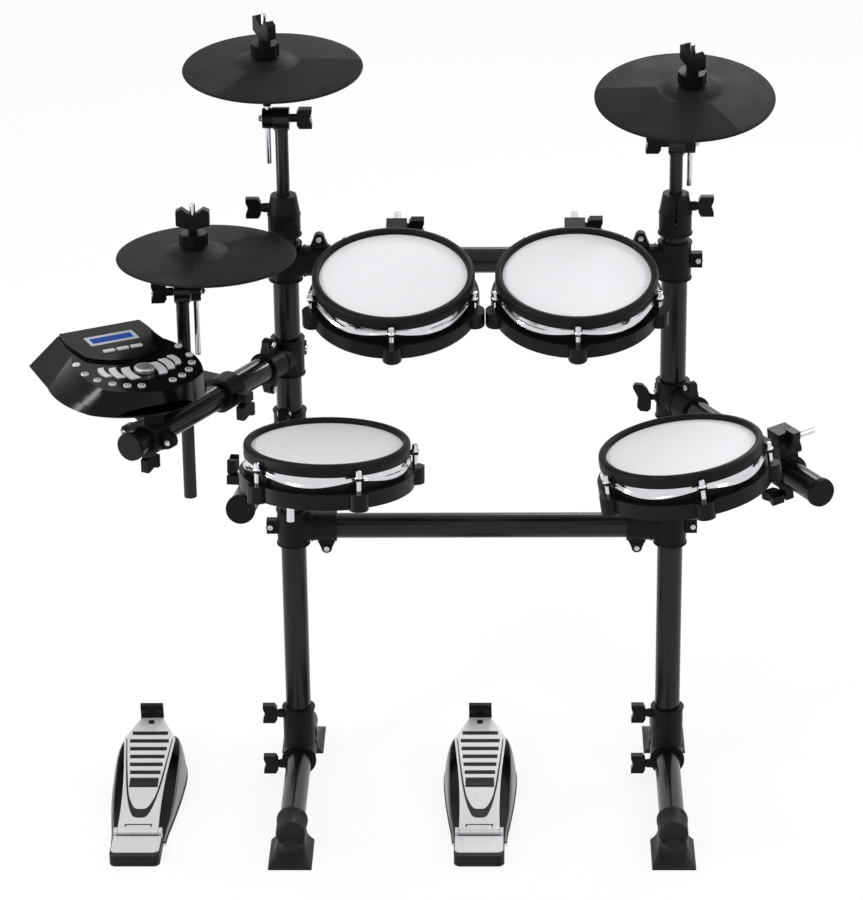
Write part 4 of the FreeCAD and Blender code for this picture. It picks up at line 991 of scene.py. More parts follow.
@dataclass
class Pad:
    """One mesh pad, in its own axes: Z is the head's normal and X points to the mount."""

    shop: Workshop
    name: str
    seat: Seat
    rim_top: float = 3.2
    rim_tolerance: float = 0.6
    rim_section: tuple[Flat, ...] = (
        (104.4, -0.4), (104.5, 4.2), (105.3, 5.9), (107.0, 6.7), (110.5, 6.7), (112.9, 6.1), (114.4, 4.4),
        (114.9, 2.2), (114.9, -9.6), (114.2, -10.4), (113.6, -10.4), (113.6, -0.2))
    full_width: float = 200.0
    mount_x: float = 120.0
    mount_size: float = 75.0
    head_r: float = 107.0
    head_low: float = -0.6
    head_crown: float = 0.5
    head_shares: tuple[float, ...] = (0, 0.15, 0.4, 0.65, 0.85, 1)
    rod_ring: float = 121.0
    rod_angles: tuple[float, ...] = (36.0, 108.0, 180.0, 252.0, 324.0)
    claw_top: float = -11.0
    rod: tuple[Flat, ...] = ((0, 10.3), (3.2, 10.2), (4.3, 9.4), (4.3, 3), (5.6, 2.2), (6.2, 1.2), (6.2, 0.1),
                             (3.75, 0), (3.75, -20.8), (0, -20.8))
    hoop_r: float = 113.1
    hoop_top: float = -10.7
    hoop_low: float = -17.0
    hoop_dip: float = -25.5
    hoop_steps: int = 180
    # how far the skirt's section stands out, and share of its height
    hoop_section: tuple[Flat, ...] = (
        (-0.8, 0.0), (1.5, 0.0), (1.2, 0.12), (0.4, 0.32), (0.1, 0.52), (0.5, 0.7), (1.8, 0.86), (2.7, 0.94),
        (2.6, 1.0), (1.4, 1.0), (0.3, 0.9))

    @property
    def place(self) -> Matrix:
        """The pad's place in millimetres."""
        return self.seat.matrix()

    def build(self) -> None:
        """Dress the pad's nodes and add its head, rods, hoop and rim."""
        self.shop.dress(f"{self.name}_shell", Look.SHELL, [
            (lambda s: abs(s.high.z - self.rim_top) < self.rim_tolerance and s.span.x > self.full_width,
             Look.RIM),
            (lambda s: s.middle.x > self.mount_x and s.span.length < self.mount_size, Look.WING),
        ], self.place, edge=1.0)
        ring = [(lambda s: s.span.x > self.full_width, Look.SHELL)]
        self.shop.dress(f"{self.name}_hoop", Look.CHROME, ring, self.place, edge=0.6)
        self.head()
        self.rods()
        self.hoop()
        self.rim()

    def add(self, name: str, shape: Shape, look: Look, slot: str, sharp: float = 35.0) -> bpy.types.Object:
        """Make a piece of the pad."""
        return self.shop.piece(f"{self.name}_{name}", shape, look, self.name, self.place, slot, sharp=sharp)

    def head(self) -> None:
        """Round of woven mesh, stretched flat and tucked under the rim."""
        shape = Shape()
        shape.lathe([(self.head_r * share, self.head_low + self.head_crown * (1 - share * share))
                     for share in self.head_shares], steps=96)
        obj = self.add("mesh_head", shape, Look.MESH, "mesh_fabric")
        self.shop.stand_in(f"{self.name}_head", obj)

    def rods(self) -> None:
        """Tension rods with flanged heads, through their claws into the lugs."""
        shape = Shape()
        for angle in self.rod_angles:
            shape.lathe(self.rod, turn(angle, "Z") @ shift(self.rod_ring, 0, self.claw_top), 24)
        self.add("tension_rods", shape, Look.CHROME, "chrome")

    def hoop(self) -> None:
        """Chromed hoop: it dips between the rods and carries a rolled lip."""
        rows: list[list[Vector]] = [[] for _ in self.hoop_section]
        for k in range(self.hoop_steps):
            angle = 2 * math.pi * k / self.hoop_steps
            wave = 0.5 - 0.5 * math.cos(len(self.rod_angles) * (angle - math.radians(self.rod_angles[0])))
            low = self.hoop_low + (self.hoop_dip - self.hoop_low) * wave ** 0.7
            for row, (over, share) in zip(rows, self.hoop_section):
                radius = self.hoop_r + over
                row.append(Vector((radius * math.cos(angle), radius * math.sin(angle),
                                   self.hoop_top + (low - self.hoop_top) * share)))
        shape = Shape()
        shape.grid(rows, loop=True)
        self.add("hoop_skirt", shape, Look.CHROME, "chrome", sharp=70)

    def rim(self) -> None:
        """Round-topped rubber over the rim, which stands above the head."""
        shape = Shape()
        shape.lathe(self.rim_section, steps=120, closed=True)
        self.add("rim_rubber", shape, Look.RIM, "rubber_black", sharp=60)


@dataclass
class Cymbal:
    """One cymbal with its stand and tilter."""

    shop: Workshop
    name: str
    tilt: Seat
    edge_at: Seat
    radius: float = 128.5
    offset: float = 20.0
    rim_h: float = 2.8
    bow_h: float = 7.0
    bow_power: float = 1.7
    top_h: float = 12.0
    bell_r: float = 42.0
    bell_top_r: float = 18.0
    hole_r: float = 7.0
    wall: float = 2.6
    # rings over the upper face, as `ring` counts them, then drop and inset of the rounded edge
    upper: tuple[float, ...] = (
        -1.0, -0.8, -0.65, -0.5, -0.4, -0.3, -0.2, -0.1, 0.0, 0.08, 0.25, 0.45, 0.65, 0.82, 0.94)
    rim_rows: tuple[Flat, ...] = ((0.15, 1.6), (0.7, 0.35), (1.4, 0.0), (2.3, 0.4))
    zone_half: float = 60.0
    zone_inner: float = 49.0
    zone_rise: float = 1.1
    zone_steps: int = 60
    zone_sink: float = -0.4
    zone_lap: float = 0.5
    # share of the way from the zone's inner edge to the plate's edge, and share of the zone's height
    zone_rows: tuple[Flat, ...] = (
        (0.0, -0.4), (0.012, 0.75), (0.03, 1.0), (0.2, 1.0), (0.4, 1.0), (0.6, 1.0), (0.8, 1.0), (0.96, 1.0),
        (0.98, 0.75), (0.985, -0.4))
    jack_x: float = 92.0
    jack_outline: tuple[Flat, ...] = (
        (-13, -10), (11, -10), (15, -6), (15, 6), (11, 10), (-13, 10), (-15, 8), (-15, -8))
    jack_low: float = -1.9
    jack_high: float = 4.4
    jack_nut: tuple[Flat, ...] = ((3.2, 0), (5.2, 0), (5.2, 2.2), (4.4, 2.8), (3.2, 2.8))
    jack_nut_at: Point = (14.8, 0, 1.2)
    jack_nut_scale: float = 0.55
    rod_from: float = 200.0
    block_half: float = 30.0
    pivot_washer: Point = (2.5, 6.8, 1.4)
    pivot_nut: Flat = (4.8, 4.2)
    pivot_nut_at: float = 1.3
    tip: tuple[Flat, ...] = ((3.0, 0), (3.0, 3.2), (2.4, 4.2), (0, 4.4))
    tip_at: float = 4.2

    @property
    def place(self) -> Matrix:
        """The plate's place in millimetres: its edge's level, on the rod."""
        return self.edge_at.matrix()

    def build(self) -> None:
        """Dress the stand, the tilter and the cymbal."""
        self.shop.dress(f"{self.name}_stand", Look.TUBE, edge=0.6)
        rod = [(lambda s: s.span.z > self.rod_from, Look.CHROME)]
        self.shop.dress(f"{self.name}_tilter", Look.WING, rod, self.tilt.matrix(), edge=1.0)
        self.pivot()
        self.plate()
        self.zone()
        self.jack()

    def pivot(self) -> None:
        """Nut with a bolt's end on the tilter's outer face, and a tip in the wing's notch."""
        place = self.tilt.matrix()
        near = [s for s, _ in self.shop.solids(self.shop.nodes[f"{self.name}_tilter"].data, place)
                if s.low.z > -self.block_half and s.high.z < self.block_half]
        outer, wing = min(s.low.x for s in near), max(s.high.x for s in near)
        shape = Shape()
        shape.ring(facing((outer, 0, 0), (-1, 0, 0)), *self.pivot_washer, 32)
        shape.nut(facing((outer - self.pivot_nut_at, 0, 0), (-1, 0, 0)), *self.pivot_nut)
        shape.lathe(self.tip, facing((wing - self.tip_at, 0, 0), (1, 0, 0)), 20)
        self.shop.piece(f"{self.name}_pivot_nut", shape, Look.ZINC, f"{self.name}_tilter_body", place,
                        "chrome")

    def add(self, name: str, shape: Shape, look: Look, edge: float = 0.0,
            sharp: float = 35.0) -> bpy.types.Object:
        """Make a piece of the cymbal."""
        return self.shop.piece(f"{self.name}_{name}", shape, look, f"{self.name}_cymbal_body", self.place,
                               "cymbal_rubber", edge, sharp)

    def reach(self, angle: float) -> float:
        """Distance from the rod to the plate's edge."""
        across = self.offset * math.sin(angle)
        return self.offset * math.cos(angle) + math.sqrt(self.radius ** 2 - across ** 2)

    def spot(self, distance: float, angle: float, lift: float) -> Vector:
        """Point over or under the plate's upper face.

        Args:
            distance: Distance from the rod.
            angle: Direction from the rod, in radians.
            lift: Height over the face.

        Returns:
            The point, with its height above the plate's edge.
        """
        x, y = distance * math.cos(angle), distance * math.sin(angle)
        share = min(math.hypot(x - self.offset, y) / self.radius, 1.0)
        bow = self.rim_h + (self.bow_h - self.rim_h) * (1 - share ** self.bow_power)
        rise = min(max((self.bell_r - distance) / (self.bell_r - self.bell_top_r), 0.0), 1.0)
        return Vector((x, y, bow + (self.top_h - bow) * (1 - (1 - rise) ** 2) + lift))

    def ring(self, share: float, drop: float, inset: float = 0.0, steps: int = 120) -> list[Vector]:
        """Points round the plate.

        Args:
            share: From zero at the bell's foot to one at the edge; minus one to zero crosses the bell.
            drop: How far under the upper face.
            inset: How far inside that line.
            steps: Number of points.

        Returns:
            The points.
        """
        points = []
        for k in range(steps):
            angle = 2 * math.pi * k / steps
            run = self.bell_r - self.hole_r if share < 0 else self.reach(angle) - self.bell_r
            points.append(self.spot(self.bell_r + share * run - inset, angle, -drop))
        return points

    def plate(self) -> None:
        """Bowed plate with its bell, hollow underneath."""
        rows = [self.ring(s, 0.0) for s in self.upper]
        rows += [self.ring(1.0, drop, inset) for drop, inset in self.rim_rows]
        rows += [self.ring(s, self.wall) for s in self.upper[::-1]]
        shape = Shape()
        shape.grid(rows + [rows[0]], loop=True)
        self.shop.stand_in(f"{self.name}_cymbal", self.add("plate", shape, Look.CYMBAL, sharp=60))

    def zone(self) -> None:
        """Raised strike zone: a soft sector between the bell and the edge."""
        half, last = math.radians(self.zone_half), self.zone_steps
        rows = []
        for share, rise in self.zone_rows:
            row = []
            for k in range(-1, last + 2):
                angle = half * (2 * min(max(k, 0.0), last) / last - 1)
                lift = min(rise, self.zone_sink) if k in (-1, last + 1) else rise
                distance = self.zone_inner + share * (self.reach(angle) - self.zone_inner)
                angle += math.radians(self.zone_lap) * ((k == last + 1) - (k == -1))
                row.append(self.spot(distance, angle, lift * self.zone_rise))
            rows.append(row)
        shape = Shape()
        shape.grid(rows)
        self.add("strike_zone", shape, Look.STRIKE, sharp=50)

    def jack(self) -> None:
        """Housing of the jack socket, under the plate."""
        shape = Shape()
        shape.prism(self.jack_outline, self.jack_low, self.jack_high, shift(self.jack_x))
        x, y, z = self.jack_nut_at
        spot = facing((self.jack_x + x, y, z), (1, 0, 0)) @ Matrix.Scale(self.jack_nut_scale, 4)
        shape.lathe(self.jack_nut, spot, 24)
        self.add("jack_box", shape, Look.NYLON, edge=0.5)


@dataclass
class SoundModule:
    """The sound module with its keys, dial and display."""

    shop: Workshop
    trim: ClampTrim
    seat: Seat = Seat((-463.5, -301.7, 797.5), (0.8651, 0.5012, -0.0209), (0.053, -0.0499, 0.9973))
    grip: Seat = Seat((-460.76, -301.88, 700.0), (0.8625, -0.506, 0.0), (0.0, 0.0, 1.0))
    case_from: float = 150.0
    grip_lips: tuple[float, float] = (-17.0, 13.8)
    grip_ring: Point = (25.5, 27.4, 3.2)
    ear_outline: tuple[Flat, ...] = ((25, 13), (36, 11), (43, 7), (45, 0), (43, -7), (36, -11), (25, -13))
    ear_half: float = 6.5
    ear_bolt: float = 37.0
    dial_r: float = 13.65
    dial_ribs: int = 40
    rib: tuple[Flat, ...] = ((0, -0.55), (0.7, -0.25), (0.7, 0.25), (0, 0.55))
    rib_low: float = 1.2
    rib_high: float = 5.6
    dial_top: tuple[Flat, ...] = ((0, 6.6), (8.5, 6.7), (10.6, 7.3), (12.0, 7.2), (12.9, 6.6), (12.9, 5.9))
    key_ring: float = 80.7
    key_ring_y: float = 34.5
    key_top: float = 2.0
    key_angles: tuple[float, ...] = (17.0, 31.0, 46.0, 63.0, 81.5, 105.0)
    marked_keys: tuple[tuple[str, int, int], ...] = (("left", -1, 5), ("right", 1, 4))
    mark: Point = (1.9, 3.5, 0.12)
    lcd_y: float = 110.0
    lcd_width: Flat = (60.0, 66.0)
    bezel_width: Flat = (68.0, 74.0)
    lcd_rows: tuple[tuple[float, str], ...] = ((3.6, "###.####.##."), (-3.0, "##.#####..##"))
    cell: Point = (3.0, 0.7, 0.1)
    cell_from: float = -26.5
    cell_step: float = 4.8
    cell_lift: float = 0.08
    cell_rung: float = 1.9
    stroke: Point = (0.7, 3.8, 0.1)
    stroke_at: float = 1.3

    @property
    def place(self) -> Matrix:
        """The module's place in millimetres."""
        return self.seat.matrix()

    def is_display(self, solid: Solid) -> bool:
        """Whether a solid is the display's pane."""
        return self.lcd_width[0] < solid.span.x < self.lcd_width[1]

    def build(self) -> None:
        """Dress the module's nodes, and add the clamp's ears, dial cap, key marks and display cells."""
        self.shop.dress("module_upper_case", Look.GLOSS, edge=1.5)
        case = [(lambda s: s.span.x > self.case_from, Look.GLOSS)]
        self.shop.dress("module_lower_case", Look.NYLON, case, self.place, edge=1.2)
        self.shop.dress("module_board", Look.CIRCUIT, [
            (self.is_display, Look.DISPLAY),
            (lambda s: self.bezel_width[0] < s.span.x < self.bezel_width[1], Look.BEZEL),
        ], self.place, edge=0.4)
        self.shop.dress("module_dial", Look.DIAL, edge=0.8)
        self.dial()
        self.ears()
        self.button_marks()
        self.digits()
        for name in self.shop.nodes:
            if "_key_" in name:
                self.shop.dress(name, Look.SILVER, edge=0.6)

    def ears(self) -> None:
        """Lips and bolted ears of the clamp that holds the module on its arm."""
        place = self.grip.matrix()
        lips, bolts = Shape(), Shape()
        for y in self.grip_lips:
            lips.ring(place @ facing((0, y, 0), (0, 1, 0)), *self.grip_ring)
        flat = place @ facing((0, 0, 0), (0, 1, 0), (0, 0, 1))
        for side in (-1, 1):
            lips.prism([(side * x, y) for x, y in self.ear_outline], -self.ear_half, self.ear_half, flat)
            self.trim.bolt(lips, bolts, place @ shift(side * self.ear_bolt))
        self.shop.piece("module_clamp_ears", lips, Look.NYLON, "module", slot="clamp_plastic", edge=0.9)
        self.shop.piece("module_clamp_bolts", bolts, Look.ZINC, "module", slot="chrome")

    def dial(self) -> None:
        """Ribbed side and dished top of the dial."""
        shape = Shape()
        shape.lathe(self.dial_top, steps=60)
        for k in range(self.dial_ribs):
            spot = turn(360 * k / self.dial_ribs, "Z") @ shift(self.dial_r)
            shape.prism(self.rib, self.rib_low, self.rib_high, spot)
        self.shop.piece("dial_cap", shape, Look.DIAL, "dial", self.place, "key_silver")

    def button_marks(self) -> None:
        """Dark ring printed on the round keys that have one."""
        for word, side, count in self.marked_keys:
            for i, angle in enumerate(self.key_angles[:count], 1):
                swing = math.radians(angle)
                x = side * self.key_ring * math.sin(swing)
                y = self.key_ring_y - self.key_ring * math.cos(swing)
                shape = Shape()
                shape.ring(shift(x, y, self.key_top), *self.mark, 32)
                self.shop.piece(f"round_key_{word}_{i}_mark", shape, Look.GLOSS, f"round_key_{word}_{i}_body",
                                self.place, "key_plastic")

    def digits(self) -> None:
        """Two rows of dark cells on the display, as characters look from a step away."""
        board = self.shop.nodes["module_board"].data
        top = max(s.high.z for s, _ in self.shop.solids(board, self.place) if self.is_display(s))
        shape = Shape()
        for row, cells in self.lcd_rows:
            for k, cell in enumerate(cells):
                if cell == ".":
                    continue
                x, y, z = self.cell_from + self.cell_step * k, self.lcd_y + row, top + self.cell_lift
                for rung in (-self.cell_rung, 0.0, self.cell_rung):
                    if (k + row) % 3 > 0.5 or rung:
                        shape.block(self.cell, shift(x, y + rung, z))
                shape.block(self.stroke, shift(x + (self.stroke_at if k % 2 else -self.stroke_at), y, z))
        self.shop.piece("display_cells", shape, Look.DIGIT, "module", self.place, "circuit_plastic")


@dataclass
class Pedal:
    """One pedal, in its own axes: its heel at the origin and its toe along Y."""

    shop: Workshop
    name: str
    x: float
    heel_y: float = -289.0
    hinge_y: float = 67.0
    hinge_z: float = 22.0
    hinge_r: float = 6.0
    hinge_cheek: Flat = (33.5, 2.5)    # how far out it stands, and half its thickness
    pin: tuple[Flat, ...] = ((0, -36), (2.2, -36), (2.5, -35.6), (2.5, 35.6), (2.2, 36), (0, 36))
    floor_h: float = 8.0
    floor_low: float = 1.0
    heel_half: float = 37.5
    heel_len: float = 57.0
    heel_corner: float = 10.0
    heel_top: float = 18.0
    heel_levels: tuple[Flat, ...] = (
        (0.8, 0), (0, 0.8), (0, 4.8), (0.9, 5.5), (0.9, 6.2), (0, 6.9), (0, 10.9), (0.9, 11.6), (0.9, 12.3),
        (0, 13.0), (0, 17.0), (0.9, 18.0))
    plate_half: float = 36.0
    plate_from: float = 9.0
    plate_corner: float = 9.0
    plate_thick: float = 2.0
    board_tilt: Point = (0, -0.1908, 0.9816)
    board_top: float = 4.5
    board_low: float = 1.5
    board_len: float = 272.0
    stop_len: float = 30.0
    slot_w: float = 60.0
    slot_len: float = 9.3
    slot_from: float = 0.836
    slot_step: float = 0.0695
    wide_slot: Point = (0.73, 2.5, 0.4)    # shares of the slots' width and length, and of the board's length
    shares: tuple[float, ...] = (0.92, 1.0, 0.95, 0.89, 0.84, 0.78)
    grip_gap: float = 0.1
    grip_sunk: float = 1.0
    rib_in: float = 4.0
    rib_sunk: float = 0.5
    side: tuple[Flat, ...] = (
        (40.5, 62), (42.5, 92), (47, 132), (52.5, 190), (56, 250), (54.5, 290), (47, 320), (33, 338),
        (16, 344.6), (0, 345.3))
    wall: tuple[Flat, ...] = (
        (60, 7), (95, 9), (130, 15), (170, 27), (210, 38.5), (250, 46), (290, 49.5), (320, 48), (338, 43),
        (346, 40))
    lean: float = 8.0
    lean_at: float = 50.0
    lean_power: float = 1.7
    # steps outward, share of the wall's height, and height added to that
    cheek_levels: tuple[Point, ...] = (
        (-0.5, 0.0, 4.6), (-0.4, 0.12, 4.6), (-0.4, 0.3, 3.6), (-0.3, 0.5, 2.6), (-0.2, 0.7, 1.6),
        (-0.3, 0.88, 0.6), (-0.9, 0.97, 0.0), (-1.8, 1.0, 0.0), (-2.8, 0.99, 0.0), (-3.4, 0.95, 0.0),
        (-3.6, 0.6, 1.0), (-3.8, 0.0, 4.0))
    skirt_levels: tuple[Point, ...] = (
        (-4.0, 0.0, 0.0), (0.2, 0.0, 0.0), (0.6, 0.0, 0.6), (0.6, 0.0, 3.6), (0.1, 0.0, 4.4),
        (-4.0, 0.0, 4.8))
    floor_level: Point = (-3.0, 0.0, 2.0)
    bumper_share: float = 0.8
    bumper_h: float = 24.0
    bumper_outline: tuple[Flat, ...] = (
        (-18, -9), (-15, -12), (15, -12), (18, -9), (18, 9), (15, 12), (-15, 12), (-18, 9))
    bumper_top: tuple[Flat, ...] = ((11, 23.5), (11, 27), (9.5, 30.5), (6, 31.8), (0, 32))
    inlay_outer: tuple[Flat, ...] = (
        (36, 213), (31.5, 155), (26, 98), (19.5, 58), (13, 35), (8, 27.5), (0, 26))
    inlay_inner: tuple[Flat, ...] = (
        (34.6, 213), (29.3, 155), (21.8, 88), (16, 64), (10.5, 51), (6, 47), (0, 46.5))
    inlay_sunk: float = 0.3
    inlay_rise: float = 0.1
    # width and length of each dark mark, and its place: painted shade of the hinge cut and of the toe hole
    marks: tuple[tuple[Flat, Flat], ...] = (
        ((41, 2.2), (0, 10.4)), ((2.2, 4.5), (-19.4, 7.6)), ((2.2, 4.5), (19.4, 7.6)),
        ((8.7, 9.0), (-0.6, 254.5)))
    mark_h: float = 0.4
    screw: Flat = (3.6, 1.6)
    screw_x: float = 11.5
    screw_y: float = 264.7
    screw_z: float = 17.5

    @property
    def place(self) -> Matrix:
        """The pedal's place in millimetres."""
        return shift(self.x, self.heel_y)

    @property
    def board(self) -> Matrix:
        """The footboard's place in millimetres: its hinge, with Z square to its face."""
        return Seat((self.x, self.heel_y + self.hinge_y, self.hinge_z), (1, 0, 0), self.board_tilt).matrix()

    def build(self) -> None:
        """Dress the footboard and build the base under it."""
        stop = [(lambda s: s.span.y < self.stop_len, Look.NYLON)]
        self.shop.dress(f"{self.name}_footboard", Look.BOARD, stop, edge=0.5)
        for make in (self.cheeks, self.skirt, self.heel, self.heel_plate, self.hinge, self.bumper, self.grips,
                     self.inlay, self.screws):
            make()

    def outline(self) -> list[tuple[Vector, Vector]]:
        """Line round the housing, from the right of the hinge by the toe to the left.

        Returns:
            Each point with its outward direction.
        """
        right = smooth_line(self.side, 5)
        line = [Vector(p) for p in right + [(-x, y) for x, y in reversed(right[:-1])]]
        ways = []
        for before, after in zip([line[0], *line], [*line[1:], line[-1]]):
            run = after - before
            ways.append(Vector((run.y, -run.x)).normalized())
        return list(zip(line, ways))

    def wall_rows(self, levels: Sequence[Point]) -> list[list[Vector]]:
        """Rows of points round the housing.

        Args:
            levels: Steps outward in millimetres, share of the wall's height, and height added to that.

        Returns:
            One row for each level.
        """
        tops = smooth_line(self.wall, 6)
        rows = []
        for out, share, extra in levels:
            row = []
            for spot, way in self.outline():
                z = share * along(tops, spot.y) + extra
                flat = spot + way * (out - self.lean * (max(z, 0.0) / self.lean_at) ** self.lean_power)
                row.append(Vector((flat.x, flat.y, z)))
            rows.append(row)
        return rows

    def base(self, name: str, shape: Shape, look: Look, slot: str, edge: float = 0.0,
             sharp: float = 35.0) -> None:
        """Make a piece that stands for the CAD base.

        Args:
            name: The piece's name after the pedal's.
            shape: Its mesh.
            look: Its finish.
            slot: The record's material slot.
            edge: Width of a rounded edge, in millimetres.
            sharp: Edges steeper than this many degrees stay sharp.
        """
        obj = self.shop.piece(f"{self.name}_pedal_{name}", shape, look, "rack", self.place, slot, edge, sharp)
        self.shop.stand_in("pedal_bases", obj)

    def on_board(self, name: str, shape: Shape, look: Look, slot: str) -> None:
        """Make a piece that rides on the footboard."""
        self.shop.piece(f"{self.name}_{name}", shape, look, f"{self.name}_board", self.board, slot)

    def cheeks(self) -> None:
        """Smooth wall of the housing, open above for the footboard."""
        shape = Shape()
        shape.grid(self.wall_rows(self.cheek_levels))
        self.base("cheeks", shape, Look.HOUSING, "pedal_plastic", sharp=60)

    def skirt(self) -> None:
        """Dark rim and floor plate under the wall."""
        shape = Shape()
        shape.grid(self.wall_rows(self.skirt_levels))
        shape.prism([(p.x, p.y) for p in self.wall_rows([self.floor_level])[0]], self.floor_low, self.floor_h)
        self.base("skirt", shape, Look.NYLON, "pedal_plastic")

    def heel(self) -> None:
        """Rubber heel with two grooves round it."""
        shape = Shape()
        made = shape.grid([[Vector((x, y, z))
                            for x, y in tongue(self.heel_half, 0, self.heel_len, self.heel_corner, inset)]
                           for inset, z in self.heel_levels], loop=True)
        shape.mesh.faces.new(made[0])
        shape.mesh.faces.new(made[-1])
        self.base("heel", shape, Look.RUBBER, "rubber_black")

    def heel_plate(self) -> None:
        """Brushed plate on the heel, with rounded front corners."""
        shape = Shape()
        shape.prism(tongue(self.plate_half, self.plate_from, self.heel_len, self.plate_corner), self.heel_top,
                    self.heel_top + self.plate_thick)
        self.base("heel_plate", shape, Look.BOARD, "board_metal", edge=0.5)

    def hinge(self) -> None:
        """Hinge pin and the two cheeks that hold it."""
        shape = Shape()
        shape.lathe(self.pin, facing((0, self.hinge_y, self.hinge_z), (1, 0, 0)), 24)
        outline = [(self.hinge_y - self.hinge_r, self.floor_h), (self.hinge_y + self.hinge_r, self.floor_h)]
        for k in range(9):
            angle = math.pi * k / 8
            outline.append((self.hinge_y + self.hinge_r * math.cos(angle),
                            self.hinge_z + self.hinge_r * math.sin(angle)))
        upright = Matrix(((0, 0, 1, 0), (1, 0, 0, 0), (0, 1, 0, 0), (0, 0, 0, 1)))
        out, half = self.hinge_cheek
        for side in (-1, 1):
            shape.prism(outline, side * out - half, side * out + half, upright)
        self.base("hinge", shape, Look.BOARD, "board_metal", edge=0.4)

    def bumper(self) -> None:
        """Rubber bumper with the sensor, under the footboard."""
        shape = Shape()
        spot = shift(0, self.hinge_y + self.board_len * self.bumper_share, self.floor_h)
        shape.prism(self.bumper_outline, 0, self.bumper_h, spot)
        shape.lathe(self.bumper_top, spot, 32)
        self.base("bumper", shape, Look.RUBBER, "rubber_black", edge=0.8)

    def grips(self) -> None:
        """Rubber grips that fill the footboard's slots, a little below its face, with two ribs on each."""
        shape = Shape()
        slots = [(self.slot_w * share, self.slot_len, self.board_len * (self.slot_from - self.slot_step * i))
                 for i, share in enumerate(self.shares)]
        wide, deep, at = self.wide_slot
        slots.append((self.slot_w * wide, self.slot_len * deep, self.board_len * at))
        for wide, deep, y in slots:
            x, d = wide / 2 - self.grip_gap, deep / 2 - self.grip_gap
            shape.prism(rectangle(x, y - d, y + d), self.board_low + self.grip_gap,
                        self.board_top - self.grip_sunk)
            for k in range(2):
                middle = y + (k - 0.5) * d
                shape.prism(rectangle(x - self.rib_in, middle - d * 0.1, middle + d * 0.1),
                            self.board_top - self.grip_sunk - self.grip_gap, self.board_top - self.rib_sunk)
        self.on_board("board_grips", shape, Look.RUBBER, "rubber_black")

    def inlay(self) -> None:
        """Dark inlay round the slots, and painted shade on the hinge cut and the toe hole."""
        outer, inner = smooth_line(self.inlay_outer, 4), smooth_line(self.inlay_inner, 4)
        low, high = self.board_top - self.inlay_sunk, self.board_top + self.inlay_rise
        shape = Shape()
        for side in (-1, 1):
            shape.grid([[Vector((side * x, y, z)) for x, y in line]
                        for line, z in ((outer, low), (outer, high), (inner, high), (inner, low))])
        # painted shade: flat dark blocks for the openings of the hinge cut and the toe hole
        for (wide, deep), (x, y) in self.marks:
            shape.block((wide, deep, self.mark_h), shift(x, y, self.board_top))
        self.on_board("board_inlay_and_hole_shade", shape, Look.RUBBER, "rubber_black")

    def screws(self) -> None:
        """Two screws in the toe stop."""
        shape = Shape()
        for side in (-1, 1):
            shape.bolt(facing((side * self.screw_x, self.screw_y, self.screw_z), (0, -1, 0)), *self.screw)
        self.on_board("toe_screws", shape, Look.STEEL, "board_metal")


@dataclass(frozen=True)
class Lamp:
    """One soft lamp: its place and size in metres, and its power in watts."""

    name: str
    at: Point
    size: Flat
    power: float


